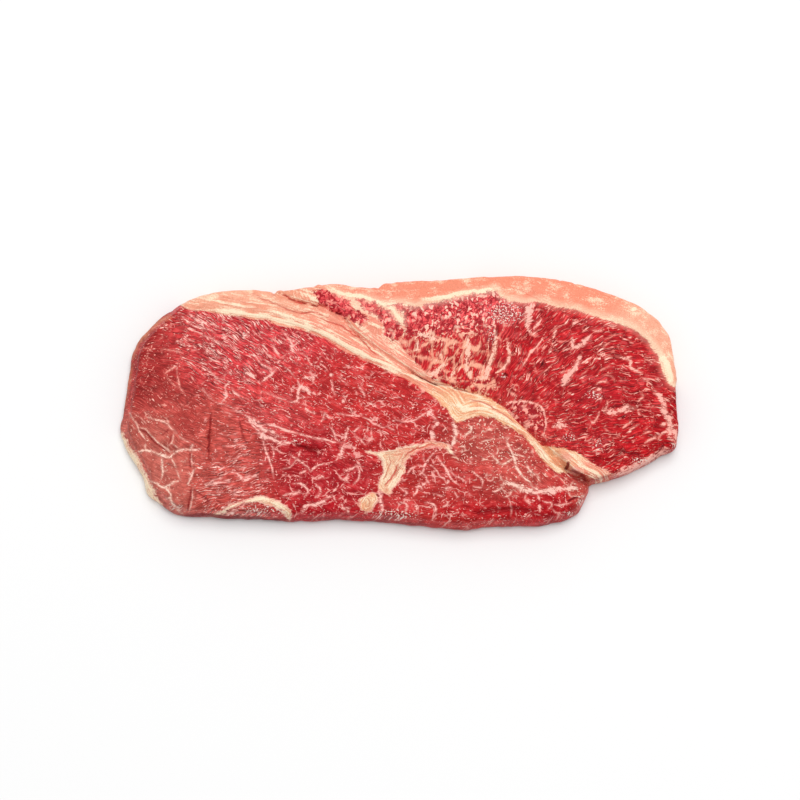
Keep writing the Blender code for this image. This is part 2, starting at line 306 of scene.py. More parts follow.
INNER_FAT = (WEDGE, LOWER_NODE, CRESCENT, LEFT_RIM)
OUTER_FAT_BELOW = (SEAM_LINE + ABOVE_SEAM,)
OUTER_FAT_ABOVE = (UPPER_LINE + BELOW_UPPER, CAP_LINE + BEYOND_CAP)

# Clusters of coarse red grain that lie in the fat between the cap and the groove.
CLUSTERS = (
    ((311, 291), (322, 290), (335, 294), (351, 300), (353, 312), (345, 319), (335, 314), (320, 305)),
    ((356, 299), (375, 302), (389, 309), (398, 321), (404, 330), (401, 339), (392, 342), (385, 335),
     (385, 323), (376, 317), (364, 310)),
    ((348, 308), (360, 311), (369, 320), (361, 326), (350, 319)),
)

# The red wedge beside the seam, which is coarse lean with a rim of fat.
RED_WEDGE = (
    (508, 406), (519, 404.5), (529.5, 404), (541.5, 410), (544.5, 417), (543, 426), (544.5, 434.5),
    (537.5, 433), (525.5, 425), (513.5, 415.5),
)
COARSE_LEAN = CLUSTERS + (RED_WEDGE,)

# Single veins of fat, by their half width.
VEINS = {
    0.28: (
        ((134.7, 413), (141.6, 419), (145.6, 425)), ((146.5, 355), (148, 359)),
        ((161, 351.5), (162, 354)), ((165, 375), (171, 381.5), (178, 388.5)),
        ((196.5, 387), (206, 395), (215.5, 401), (229, 407), (246, 415)),
        ((173.8, 433), (172.5, 442), (168.5, 446)), ((171.5, 443), (179, 448.5)),
        ((192, 452), (192.5, 468)), ((192.5, 487), (192, 503), (189, 513)),
        ((283.4, 366), (289, 371), (296, 378)), ((321, 362.5), (329.3, 371)),
        ((337, 376), (342.5, 380.5), (349, 385)), ((305, 411), (315.5, 413)),
        ((481, 442), (486.5, 440.5), (494, 439)), ((495.5, 447), (497, 450), (495.5, 455)),
        ((522, 446.5), (515, 450.5)), ((506.5, 476), (507, 480)),
        ((488, 472.5), (486.5, 479), (491, 481), (494, 477.5)),
        ((604.7, 340.5), (612, 336), (622.5, 333.5)), ((603, 347), (612, 342)),
        ((264.6, 359), (270.4, 365)), ((257, 369), (262, 374)), ((223.5, 412.5), (233, 416)),
        ((176, 470), (180, 480)),
    ),
    0.38: (
        ((130, 413.5), (137, 425), (139, 431), (144.5, 440)),
        ((137, 428), (147.5, 431.5), (155, 439), (172.7, 454)),
        ((161, 349.5), (172.5, 350.5), (183, 352)), ((179, 434.5), (184, 439.5), (190.5, 442)),
        ((170.4, 456.5), (174.4, 463.5), (177, 466.5)), ((164.5, 373.5), (171, 369.5), (176.5, 366.5)),
        ((176.5, 366.5), (178, 380.5), (179.5, 387), (184.5, 393.5)),
        ((129.5, 412.5), (135, 420.5), (138, 428.5)), ((170, 498), (164.5, 498.5)),
        ((204.5, 487.5), (211, 481.5), (222.5, 478)), ((182, 314.5), (190, 323), (200.5, 328)),
        ((190, 323.5), (201.5, 328), (214, 332.5), (217, 335.5)),
        ((201.5, 335), (209, 337), (215, 342), (222, 343.5), (232, 346), (236, 349.5)),
        ((209, 368), (215, 375), (222, 383)), ((201, 389.5), (211, 398.5)),
        ((257.7, 349.5), (264, 351), (272.6, 358.5)),
        ((259, 390), (266.5, 392.5), (280, 397.5), (287, 399)), ((253, 416.5), (262, 424), (263.5, 433)),
        ((270, 445.3), (278, 450.5), (284, 453)), ((272.5, 447.5), (274, 454), (274, 458)),
        ((296.4, 458.5), (292.5, 463.7), (288, 468.3), (281.5, 469.5)), ((300.4, 451), (298, 456)),
        ((306.7, 469.5), (300.4, 473.5)), ((296, 352), (304, 354.7), (307.5, 358), (310, 364)),
        ((333, 380), (333.4, 390), (336, 394.5)), ((314.4, 377.7), (308.7, 377), (303, 379)),
        ((349.4, 406), (355, 414)), ((305, 408.7), (308.7, 411), (315.6, 413.3)),
        ((336.8, 414.4), (343, 413.8), (351.7, 415), (357, 415.5)),
        ((362.6, 416.7), (370, 420), (378, 425.5), (386.5, 426)), ((386.5, 426), (394.5, 430)),
        ((374, 420.5), (374.5, 416.5)), ((379, 430.5), (389, 434.5)),
        ((353.5, 432), (357.5, 437), (365, 444.5)), ((353.5, 431.5), (360, 428)),
        ((372.5, 428), (371.5, 437), (366.5, 444.5)), ((338, 500), (343.5, 496.5)),
        ((335.4, 501.5), (332.6, 496)), ((358, 466), (358, 479), (352, 485.5)),
        ((223, 446), (232.5, 446), (245, 443.5)), ((231, 465), (239, 457), (248, 454)),
        ((205, 485.5), (221, 482.5), (231, 482)), ((435.7, 451.7), (430, 456.3), (426, 462)),
        ((423.7, 466.7), (422.5, 472), (417.4, 476)), ((423.7, 466.7), (417.4, 465)),
        ((423, 453.5), (423.7, 460.3), (426, 462)), ((416.8, 466.7), (410, 470), (407, 474.7)),
        ((429, 464), (433.4, 466.7), (438, 473.6), (443.8, 480), (446, 485.6)),
        ((448.4, 469.5), (454.7, 474.7), (461.6, 478.7), (465.6, 484)), ((416.8, 485), (423, 489.7)),
        ((435.7, 494.3), (443.8, 496)), ((453.6, 491.4), (457.6, 497.7)), ((446, 489), (451.3, 488.5)),
        ((526, 494.5), (525, 499), (531.3, 505.4)), ((543.3, 500.8), (551.4, 503), (547.4, 508.3)),
        ((554.3, 503.7), (561.7, 504.8), (572, 502.5)), ((552, 508.3), (555.4, 512.3), (560.6, 511.7)),
        ((567.5, 493.3), (571.5, 497.4), (577.2, 496.8)), ((559.4, 477.2), (563.4, 483), (564, 486)),
        ((566.3, 477.2), (563, 481.3)), ((569.8, 485.3), (573.2, 480.7)),
        ((512, 491), (507.5, 497), (503.5, 498)), ((507.5, 497), (510.5, 508), (510, 516.5)),
        ((500, 476), (502.5, 480.5)), ((513, 455), (521, 456.4), (525, 457.5)),
        ((464, 435), (471, 431), (473, 426)), ((460, 446.6), (463.4, 446.6), (465.7, 450)),
        ((482.4, 430), (484.7, 431.7), (490, 428.8), (491, 431.5)),
        ((471, 471.5), (479, 477.6), (482.4, 480), (481.3, 487.4)), ((481.3, 487.4), (471.5, 487.4)),
        ((393, 416.5), (398, 420.5), (412, 421), (422.5, 414), (429, 412)),
        ((599.5, 372), (605, 369), (611, 366.3)), ((604, 376), (611, 376.7), (614.5, 381.8)),
        ((642.7, 434.2), (647.8, 431.6), (652.3, 430.6)), ((622.5, 427.5), (628, 424), (633, 420.5)),
        ((627, 432), (633.5, 427.5), (640, 424.5)), ((540, 375), (547, 369.6), (553, 364)),
    ),
    0.52: (
        ((145.6, 417), (159, 421), (165, 422), (170.4, 427), (176.7, 432.5)),
        ((249, 353.5), (250.8, 354), (260.6, 363.6)),
        ((138.7, 451.4), (147.4, 450.8), (155.4, 452), (161.7, 455.4), (169.8, 456), (176, 452.5),
         (184.7, 449), (190, 449.7)), ((192.8, 444), (190, 449.5), (200, 448)),
        ((161.7, 455.4), (162.3, 464.6), (163, 473.8), (161.2, 479.5)),
        ((146.8, 480.7), (154.8, 483), (160, 486), (166.3, 486), (172, 483), (177.8, 481.3)),
        ((165.7, 487.4), (170.2, 493.8), (170.2, 498.3), (177.2, 508.5), (183, 514.2)),
        ((188.5, 312), (195.5, 318.5), (203.5, 323), (214, 325), (219.8, 328.6)),
        ((260.6, 363.6), (267.5, 367.6), (275.5, 369.4)), ((275.5, 369.4), (267, 377.4), (261.2, 382)),
        ((272.6, 346), (275.5, 352), (280, 355.6)),
        ((228.4, 382), (225.6, 387.2), (226.7, 394), (221, 402)),
        ((232.5, 387), (236, 393.5), (242.8, 400)),
        ((282.5, 329.5), (289, 340), (292, 347), (298.5, 341.5)),
        ((246, 416), (253, 425), (259.5, 431.5), (264, 436)),
        ((262, 434), (264, 423.5), (273, 426), (285, 430), (295, 432.5), (306, 435.5), (319, 439),
         (329, 441.5), (342, 443.5)), ((262, 440), (265.5, 452.5), (269.5, 461), (273, 469), (274, 478)),
        ((332, 427), (338, 439.5), (342, 443.5)), ((348.5, 427.5), (345, 439.5), (342, 443.5)),
        ((311, 368.5), (311.6, 374.8), (314.4, 377.7), (312.7, 381.7)),
        ((297, 379), (300, 385.5), (298.4, 394), (297.8, 400.7), (288.5, 400.2)),
        ((313.3, 391), (316.7, 395)), ((357, 385.2), (362.7, 392.6), (363.8, 397.8)),
        ((323.6, 412.2), (329.3, 418), (332.8, 418.5)), ((323.6, 412.2), (323, 418.5), (320.7, 421.3)),
        ((290, 454), (296.4, 458.5), (304, 463), (311.3, 470.6)),
        ((311.3, 470.6), (316, 466.6), (324, 463.7), (328, 463.7)),
        ((292.4, 484.4), (302.7, 485), (308.5, 491.3), (305, 497.6)),
        ((315.3, 484), (320, 489), (320.5, 492), (316, 498)),
        ((282.6, 496), (287.2, 493.5), (296.4, 493), (299.8, 490)), ((317, 478), (324.5, 477.4)),
        ((337, 475.2), (340, 478.6), (345.2, 478), (349.2, 474)), ((345.2, 478), (347.5, 482.6)),
        ((344, 470.6), (348.6, 470.6), (356, 466)), ((341.7, 503.3), (342.3, 507.3), (350.4, 508)),
        ((346.5, 508), (348.6, 513.6)), ((332, 492.4), (337, 486.6)),
        ((347.5, 442.4), (351, 446), (356, 448.7)),
        ((224.5, 471.5), (237, 474), (243.5, 479.5), (258, 474)), ((426, 462), (423.7, 466.7)),
        ((437.5, 455.7), (442.6, 463.8), (446, 469), (450.7, 478.7), (459.3, 486.2)),
        ((422.5, 472), (425.4, 477.6), (426, 480.5), (429.4, 484)),
        ((426, 480.5), (422.5, 484.5), (420, 483)), ((416.8, 486.5), (416.8, 492.5), (415, 496.6)),
        ((399.5, 487.4), (405.3, 490.2), (407.6, 492.5), (404, 496)),
        ((400, 502.3), (405.3, 504), (407, 507.5), (404, 512.6)),
        ((425.4, 502.3), (431.7, 503.5), (434.6, 506.3), (436.3, 515)),
        ((448.4, 501), (446, 505.2), (442.6, 507.5)), ((414.5, 507.5), (417.4, 506.3), (417, 510)),
        ((508.9, 438), (507, 441), (509, 447), (512.3, 453.5), (514, 461), (518, 470.2), (523.2, 477),
         (529, 482.2), (534, 488.6)),
        ((512.3, 459.3), (506, 462.7), (502, 464), (495.6, 460.4), (491.6, 455.2)),
        ((526, 464), (530, 470.7), (536, 475.3), (539.3, 482.2)), ((537.6, 494.5), (539.3, 499)),
        ((539, 504.5), (539.3, 512)), ((468, 425.3), (472, 428.8), (470.3, 432.2), (463.4, 435.7)),
        ((503.7, 481), (502, 485.7), (496.8, 491), (492.8, 491.4)),
        ((429, 405), (432.5, 415.5), (437.5, 423)), ((592, 329.5), (600, 332.4), (604, 330)),
        ((594.5, 385.5), (600, 382.6), (608.8, 383.2)), ((645, 357.7), (649, 360), (653.6, 362.3)),
        ((590, 419.5), (592, 423.4), (595.6, 420.6), (599, 414.8), (599.7, 411.4)),
        ((644.7, 443), (647.8, 440.3), (652.3, 438.3), (657, 435.2)),
        ((606.6, 409), (606.6, 405.6), (609, 400)), ((637, 402.2), (642.8, 396), (640.5, 393)),
        ((637, 410), (640.5, 415.4)), ((519, 370), (525.3, 361), (530, 354.7), (536, 347), (542.5, 338)),
        ((441.8, 349), (441, 358)),
        ((507, 403.5), (531, 402.5), (543, 408.5), (545.5, 415.5), (544.5, 436)),
        ((568, 467.5), (575, 475)), ((196.2, 468), (192.8, 471.5), (190, 477.8), (186.4, 483.6)),
    ),
    0.85: (
        ((262, 437), (269.5, 438.5), (277, 441.5), (284.5, 444), (292, 442)),
        ((300, 385), (308.7, 389.8), (311, 392.6)), ((290.3, 346), (292.6, 352.4)),
        ((332, 373.5), (332.3, 376.5)), ((343.7, 399), (344.5, 401.5)), ((245, 371), (253, 375.7)),
        ((302.5, 513), (304.4, 508.5), (315.3, 505), (324.5, 500), (332, 495.3)),
        ((453, 421), (455, 429.5), (454.5, 436.5), (452, 446)), ((447.5, 482), (447, 484.5)),
        ((445.5, 488.5), (447, 489.5)), ((379, 492), (380.5, 502), (381.5, 510)),
        ((507, 339.5), (508.6, 352.4), (508.6, 361), (505, 367), (496.4, 372.5)),
        ((555, 327), (554.6, 332.3), (553, 338)), ((571.8, 324), (577, 320.3)),
        ((599.5, 356), (604.5, 353)), ((595, 390), (598, 389.5), (600.5, 392)),
        ((656.5, 380), (658.5, 382.5)), ((660, 424.5), (666, 423)), ((663, 432.7), (669, 428.5)),
        ((533, 329), (537, 325), (540, 320)), ((494.5, 326), (496, 345), (492, 355.5), (488, 368)),
        ((455.6, 371.4), (450.4, 377.6)),
        ((616.8, 356), (623.7, 357.7), (630.6, 360.6), (631.7, 367.5), (637.5, 371.5), (642, 372.6)),
        ((229.5, 372), (231, 374.5)),
    ),
    1.2: (
        ((246, 415), (255, 422), (264, 429), (274, 434), (283, 437)),
        ((651, 387), (659, 397), (665, 410), (669, 424), (672, 440)), ((341.7, 445), (341.5, 457)),
        ((258, 432), (264, 438), (269, 440)), ((427.5, 412.5), (430, 414)), ((435, 422), (438, 424)),
        ((431, 431), (435.5, 438)),
        ((503.5, 480.5), (511, 484), (519, 487.5), (527.5, 490.5), (536, 491.5), (546, 491), (557, 490),
         (576, 488)),
        ((467.7, 336.3), (468.2, 347.2), (467.7, 355.8), (467.1, 364.4), (470, 374.8), (473.4, 379.3),
         (479.7, 378.8)),
        ((479.7, 378.8), (486, 377.6), (488.3, 370.2), (488.3, 364.4), (493, 355.8), (494, 344.3)),
        ((418, 333), (426, 337), (435.5, 340.5)), ((416.5, 353), (418, 342.5)),
        ((446, 364), (440, 368), (431.5, 373.6), (424, 376)), ((572.3, 338.6), (573.5, 347.8)),
        ((591, 334.5), (586, 339.5), (582, 345), (573.5, 349)),
        ((604.2, 410.2), (617.5, 411), (623.2, 409), (636, 408)),
        ((580.5, 355.5), (576.5, 363.5), (571, 372), (565.5, 381), (561.5, 386.5)),
        ((664, 402), (667.7, 413), (670, 420), (674, 431.5), (676, 443.5)), ((535, 488), (537, 490)),
        ((534, 303), (528, 312), (526.5, 322), (529, 331)),
    ),
    1.8: (
        ((612, 477), (626, 471.5), (640, 465.5), (651, 459), (660, 453), (668, 450.5)),
        ((568, 376), (564, 383), (562, 386)), ((556, 426), (564, 426)),
        ((531, 304), (527.5, 314), (527, 324)), ((548, 491), (556, 490)), ((244.5, 333.5), (246, 335)),
        ((442.5, 364), (443, 367)),
    ),
}

# Cream ridges on the fat: the half width, the strength, then the points.
CREAM = (
    (1.1, 1.0, ((190, 304.5), (205, 307), (224, 310), (245, 313.5), (265, 316.5), (286, 321), (306, 327),
     (323, 333), (338, 341), (355, 349.5), (373, 359), (390, 367), (408, 375), (428, 385))),
    (0.8, 0.9, ((327, 286), (344, 294), (364.5, 297.5), (383, 303), (410, 306))),
    (0.9, 0.9, ((415, 301), (434, 299), (454, 295), (472.5, 291.5), (487.5, 290), (498, 292))),
    (0.6, 0.8, ((351, 331.5), (375, 350.5), (402, 370.5), (430, 383), (455, 389), (480, 397), (503, 411))),
    (0.7, 0.7, ((365.5, 321), (381.5, 327.5), (392, 331))),
    (0.8, 0.8, ((385.5, 302), (394, 311), (403, 323.5))),
    (1.4, 0.9, ((661, 356), (666, 362), (670, 374), (672, 384))),
    (0.9, 1.0, ((633, 307), (634, 311))),
    (0.9, 0.8, ((441, 397), (452, 404), (470, 408), (490, 411), (505, 419), (522, 430), (536, 446),
     (548, 461), (560, 470))),
    (0.6, 0.7, ((452, 394), (475, 401), (498, 412), (516, 426), (530, 438), (544, 453), (556, 461))),
    (1.2, 0.8, ((222, 511), (247, 499), (268, 499), (285, 508))),
    (0.8, 0.6, ((205, 297), (226, 302), (250, 307), (276, 312), (300, 320), (322, 328))),
    (0.8, 0.7, ((290, 290), (304, 296), (318, 300), (332, 306))),
    (0.9, 0.7, ((278, 289), (292, 295), (306, 300))),
    (1.0, 0.8, ((575, 462), (588, 468), (602, 474))),
    (1.1, 1.0, ((121, 431), (127.5, 450), (134, 462), (140, 474), (146, 487), (151, 496), (158, 502))),
    (0.8, 0.8, ((362, 449.5), (378, 451), (395, 448.5), (412, 445.5), (430, 441.5))),
    (0.9, 1.0, ((401, 469), (398.5, 476), (394, 483), (387, 490))),
    (0.9, 1.0, ((376, 452.5), (382, 458), (384.5, 466), (382.5, 476), (379.5, 486))),
    (0.7, 0.7, ((446, 445.5), (453, 452), (459, 460))),
    (0.6, 0.6, ((360, 502), (364, 497), (372, 495))),
)

# Brown lines between the layers of fat: the half width, the strength, then the points.
LAYER_LINES = (
    (0.35, 0.8, ((244, 292), (253, 294), (262, 299), (269, 301.5), (278, 306), (295, 311), (304, 313),
     (315, 313), (329, 318), (336, 319))),
    (0.4, 0.9, ((316, 316), (323, 319), (329, 322), (340, 325), (349, 331), (359, 338), (368, 347),
     (376, 353), (384, 358), (388, 361))),
    (0.5, 1.0, ((274, 291.5), (283, 294), (289, 298), (295.5, 301), (301, 302), (307, 303), (313, 305),
     (320, 306), (326, 308), (332.5, 311), (338, 313))),
    (0.4, 0.7, ((406.5, 369), (414, 374), (422, 378), (429.5, 382), (437, 385), (450, 387), (463, 391),
     (473, 393), (484, 396), (491, 398))),
    (0.35, 0.8, ((464, 397), (476, 401), (485, 404), (493, 409), (499, 413), (506.5, 417), (516, 425),
     (520, 428))),
    (0.3, 0.5, ((210, 302), (228, 306), (252, 309), (275, 314), (296, 320))),
    (0.3, 0.5, ((512, 289.5), (524, 291.5), (533.5, 297), (545.5, 303))),
    (0.3, 0.5, ((524, 433), (534, 444), (543, 455), (551, 464))),
    (0.3, 0.5, ((360, 345), (378, 357), (396, 367), (414, 377))),
    (0.35, 0.6, ((215, 296), (233, 299), (252, 304), (268, 309))),
    (0.35, 0.8, ((440, 445.5), (426, 445), (414, 449), (405, 457), (399, 466))),
    (0.4, 1.0, ((398, 464), (393, 476), (385, 487))),
    (0.3, 0.7, ((388, 454), (390, 462), (387, 472), (383, 482))),
    (0.3, 0.6, ((366, 498), (370, 503), (368, 509))),
)

# Creases and cracks: the half width, the depth, the darkness of the shade painted into them, then the
# points.
CREASES = (
    (0.7, 1.2, 0.8, ((334, 311.5), (338, 313.5), (342, 314))),
    (0.8, 0.6, 0.9, ((567, 462.5), (567.5, 465), (565, 470))),
    (0.7, 0.8, 0.7, ((568.5, 469), (579, 473), (584.5, 477), (587, 482.5))),
    (0.45, 0.5, 0.75, ((136, 429), (146, 433), (153.5, 440.5), (163, 448), (171, 455))),
    (0.3, 0.2, 0.6, ((170, 427.5), (161.2, 436))),
    (0.3, 0.2, 0.6, ((172.5, 433), (170, 442), (166.5, 446))),
    (0.3, 0.2, 0.5, ((170, 444), (178, 450))),
    (0.3, 0.2, 0.5, ((138, 432), (143, 441))),
    (0.4, 0.3, 0.45, ((130.5, 414), (138.5, 428.5))),
    (0.5, 0.6, 0.7, ((211, 410), (209.5, 431.5), (208, 449), (209, 463.5))),
    (0.4, 0.4, 0.6, ((190.5, 452), (190.5, 463), (191.5, 469))),
    (0.4, 0.4, 0.7, ((191.2, 485.5), (190.6, 495.7), (189.3, 503.4), (186.8, 513))),
    (0.4, 0.3, 0.6, ((190.6, 488.7), (203.3, 496.4), (212.3, 504))),
    (0.5, 0.4, 0.55, ((238, 415), (241, 425), (244, 436), (248.5, 449))),
    (0.9, 0.6, 0.75, ((293, 446), (304.4, 447.6), (313, 450.5), (319, 451.6))),
    (0.4, 0.5, 0.6, ((243.5, 392.5), (259.5, 402), (275.5, 407), (288, 410), (298.5, 414))),
    (0.5, 0.8, 0.85, ((613, 449.5), (622.8, 451.5), (630.4, 453.6), (634, 453), (641, 457.7))),
    (0.5, 0.8, 0.85, ((665, 444), (661, 449), (657.4, 452.5), (651.8, 454.6))),
    (0.4, 0.8, 0.85, ((566, 501.5), (578, 497.5))),
    (1.6, 0.3, 0.55, ((470, 517), (492, 511), (512, 509), (522, 509.5), (533, 514), (545, 516),
     (558, 515))),
    (0.7, 1.2, 0.95, ((503, 373.5), (507, 377.5))),
    (0.8, 0.6, 0.7, ((498, 324), (497, 331), (496, 337))),
    (0.5, 0.8, 0.8, ((376, 495), (379, 498))),
    (0.4, 0.3, 0.4, ((402, 464), (397, 471.5), (393, 479))),
    (0.3, 0.3, 0.45, ((208, 400), (222, 406), (236, 412))),
    (0.4, 0.3, 0.5, ((225, 395), (240, 404), (252, 408))),
    (1.1, 0.4, 0.95, ((176, 516.5), (197, 515), (230, 517.5), (262, 519.5), (292, 520))),
    (1.0, 0.1, 0.4, ((579, 474), (585, 478), (591, 481))),
    (0.6, 0.1, 0.5, ((588, 481), (602, 478), (618, 474))),
    (0.6, 0.1, 0.6, ((292, 519.5), (330, 518.5), (380, 521), (420, 523.5), (450, 526.5))),
    (0.6, 0.0, 0.6, ((405, 367), (414, 373), (422, 377.5), (429.5, 381.5), (437, 384.5), (448, 387))),
    (0.7, 0.3, 0.8, ((196, 343), (199, 348))),
    (0.7, 0.3, 0.8, ((202, 357), (207, 362))),
    (0.5, 0.3, 0.6, ((264, 351.5), (267, 354))),
    (0.8, 0.4, 0.7, ((590, 382), (600, 388), (612, 387))),
    (0.6, 0.4, 0.6, ((566, 418), (571, 425), (579, 428))),
    (0.5, 0.4, 0.6, ((595, 424), (600, 432), (606, 436))),
    (0.6, 0.4, 0.6, ((511, 344), (513, 352), (512, 358))),
)
# The painted shade of each crease: its half width, its darkness and its points.
CREASE_PAINTED_SHADES = tuple((width, darkness, points) for width, _, darkness, points in CREASES)

# The brown rim of the left side, as seen: the half width, the strength, then the points.
TANNED = (
    (0.9, 0.9, ((174, 315), (158, 322.5), (147, 332), (138, 342), (133.5, 350), (131, 362))),
    (0.8, 0.9, ((131, 362), (129, 380), (126, 396), (121.5, 412), (119.5, 424), (120, 433))),
)

# Each way that the fibres run: a place in the picture and the rise in degrees.
LOWER_FIBRES = (
    ((230, 330), -38), ((200, 320), -32), ((300, 360), -32), ((260, 390), -40), ((400, 400), -25),
    ((150, 345), 25), ((180, 380), -25), ((150, 400), -48), ((165, 430), -45), ((150, 480), -35),
    ((235, 430), 0), ((240, 460), 10), ((235, 480), 20), ((225, 505), 25), ((300, 430), -15),
    ((300, 480), -25), ((450, 500), 5), ((530, 480), -30),
)
UPPER_FIBRES = (
    ((330, 310), -30), ((400, 330), 65), ((420, 360), 70), ((440, 300), 30), ((440, 350), 78),
    ((470, 360), 85), ((500, 350), 72), ((510, 390), 55), ((530, 360), 48), ((560, 335), 35),
    ((560, 380), 42), ((590, 360), 30), ((600, 335), 22), ((600, 400), 28), ((635, 345), -2),
    ((640, 370), -8), ((640, 400), 5), ((660, 370), -35), ((660, 420), -50), ((560, 440), -50),
    ((600, 440), 40), ((630, 440), 35),
)

# How far each of these places reaches, in millimetres.
FIBRE_BLEND = 15.0

# How much coarser the fibres of the upper muscle are, along and across.
UPPER_COARSENESS = (1.1, 1.4)

# Fibres lie in straight bundles. Their angle goes by these steps, in degrees, where it wavers by
# so many degrees over such a distance.
FIBRE_STEP = 12.0
BUNDLE_WAVER, BUNDLE_SIZE = 5.0, 5.0

# Tones as they are seen: of the lean, of the marks of fat in it, and of the fat.
ROSE, RED, BRICK, WINE, DEEP = (210, 61, 66), (198, 47, 48), (180, 56, 54), (182, 34, 42), (192, 32, 39)
CLAY, BROWN, SCARLET, CHERRY = (199, 81, 73), (203, 103, 91), (242, 84, 88), (206, 38, 45)
MAROON, RUST, BLUSH = (162, 46, 47), (188, 50, 48), (214, 72, 72)
PINK, SALMON, IVORY, PEACH = (255, 176, 166), (255, 158, 143), (255, 208, 188), (255, 180, 150)
PINK_FAT, ORANGE_FAT, CREAM_FAT = (252, 178, 149), (252, 151, 122), (253, 189, 144)
SALMON_FAT, ROSY_FAT, BEIGE_FAT = (252, 150, 130), (252, 160, 138), (252, 210, 172)
PALE_FAT, LILAC_FAT, SINEW = (255, 224, 190), (248, 172, 166), (190, 50, 46)

# Each stretch of muscle: its place and reach in the picture, the tones of its lean and of its
# marks, how much it has of streaks, flecks, specks and fine net, of coarse grain, and of
# lobules with fat between them, where it has them.
MUSCLE = (
    ((215, 345), (38, 34), ROSE, PINK, (0.95, 0.8, 0.2, 0.1)),
    ((275, 345), (50, 24), ROSE, PINK, (0.75, 0.75, 0.4, 0.3)),
    ((330, 380), (50, 28), RED, PINK, (0.0, 0.55, 0.65, 0.5)),
    ((395, 410), (42, 28), RED, PINK, (0.0, 0.6, 0.75, 0.85)),
    ((270, 408), (32, 15), BLUSH, PINK, (0.5, 0.75, 0.5, 0.5)),
    ((352, 452), (16, 9), RED, PINK, (0.0, 0.6, 0.8, 1.0)),
    ((192, 342), (15, 22), BLUSH, PINK, (0.9, 0.8, 0.2, 0.1)),
    ((368, 392), (24, 11), RUST, PINK, (0.0, 0.5, 0.6, 0.4)),
    ((402, 507), (14, 7), BLUSH, PINK, (0.0, 0.3, 0.8, 0.9)),
    ((462, 479), (20, 11), RUST, PINK, (0.0, 0.2, 0.5, 0.5)),
    ((497, 358), (9, 19), WINE, PEACH, (0.3, 0.2, 0.1, 0.0), 0.2, 0.1),
    ((186, 424), (13, 15), BRICK, SALMON, (0.2, 0.3, 0.2, 0.1)),
    ((160, 370), (30, 45), BRICK, SALMON, (0.1, 0.5, 0.5, 0.2)),
    ((144, 365), (13, 42), MAROON, SALMON, (0.1, 0.5, 0.5, 0.2)),
    ((155, 455), (32, 42), BROWN, IVORY, (0.0, 0.1, 0.2, 0.1)),
    ((215, 430), (25, 30), CLAY, PINK, (0.5, 0.5, 0.2, 0.15)),
    ((235, 475), (32, 26), CLAY, PINK, (0.85, 0.8, 0.3, 0.4)),
    ((310, 470), (45, 26), WINE, PINK, (0.0, 0.3, 0.45, 0.65)),
    ((345, 500), (30, 20), WINE, PINK, (0.0, 0.3, 0.6, 0.8)),
    ((505, 445), (38, 30), CLAY, IVORY, (0.0, 0.1, 0.95, 0.2)),
    ((430, 490), (45, 30), RUST, PINK, (0.0, 0.3, 0.6, 0.75)),
    ((470, 510), (34, 6), DEEP, PINK, (0.0, 0.3, 0.4, 0.4)),
    ((528, 420), (17, 12), CHERRY, SALMON, (0.4, 0.3, 0.2, 0.2), 0.2, 1.1),
    ((548, 506), (24, 10), DEEP, PINK, (0.0, 0.3, 0.6, 0.6)),
    ((582, 492), (8, 18), CLAY, IVORY, (0.0, 0.2, 0.4, 0.2)),
    ((445, 312), (52, 18), SCARLET, IVORY, (0.2, 0.0, 0.2, 0.0), 1.0, 0.0),
    ((450, 358), (46, 24), CHERRY, PEACH, (0.75, 0.2, 0.2, 0.0), 0.35, 0.7),
    ((460, 384), (40, 7), CHERRY, PEACH, (0.3, 0.2, 0.2, 0.0), 0.7, 0.8),
    ((525, 355), (24, 44), DEEP, SALMON, (0.7, 0.3, 0.1, 0.0), 0.0, 0.1),
    ((590, 355), (48, 42), DEEP, SALMON, (0.8, 0.3, 0.1, 0.0)),
    ((600, 396), (24, 13), WINE, SALMON, (0.45, 0.3, 0.1, 0.1)),
    ((645, 400), (32, 45), DEEP, SALMON, (0.75, 0.4, 0.2, 0.1)),
    ((580, 435), (45, 26), DEEP, SALMON, (0.7, 0.5, 0.3, 0.2)),
    ((350, 305), (45, 20), SCARLET, SALMON, (0.2, 0.0, 0.0, 0.0), 1.0, 0.2),
)

# Each stretch of fat: its place and reach in the picture, and its tone.
FAT = (
    ((290, 310), (60, 20), PINK_FAT), ((380, 360), (40, 20), ROSY_FAT), ((500, 425), (50, 25), CREAM_FAT),
    ((552, 458), (24, 12), CREAM_FAT), ((420, 290), (70, 12), ORANGE_FAT),
    ((560, 295), (60, 14), ORANGE_FAT), ((650, 340), (30, 35), PINK_FAT),
    ((350, 310), (45, 18), SALMON_FAT), ((388, 468), (14, 24), BEIGE_FAT),
    ((420, 445), (26, 7), SALMON_FAT), ((399, 477), (7, 14), ROSY_FAT),
    ((315, 327), (16, 10), SALMON_FAT), ((367, 503), (12, 12), CREAM_FAT),
    ((594, 466), (14, 6), SALMON_FAT), ((585, 478), (7, 4), SINEW), ((598, 485), (16, 5), SINEW),
    ((566, 457), (6, 4), LILAC_FAT), ((574, 470), (5, 3), LILAC_FAT), ((250, 505), (40, 15), PALE_FAT),
    ((130, 465), (20, 40), PALE_FAT), ((535, 492), (25, 8), SALMON_FAT),
    ((530, 315), (14, 18), SALMON_FAT),
)
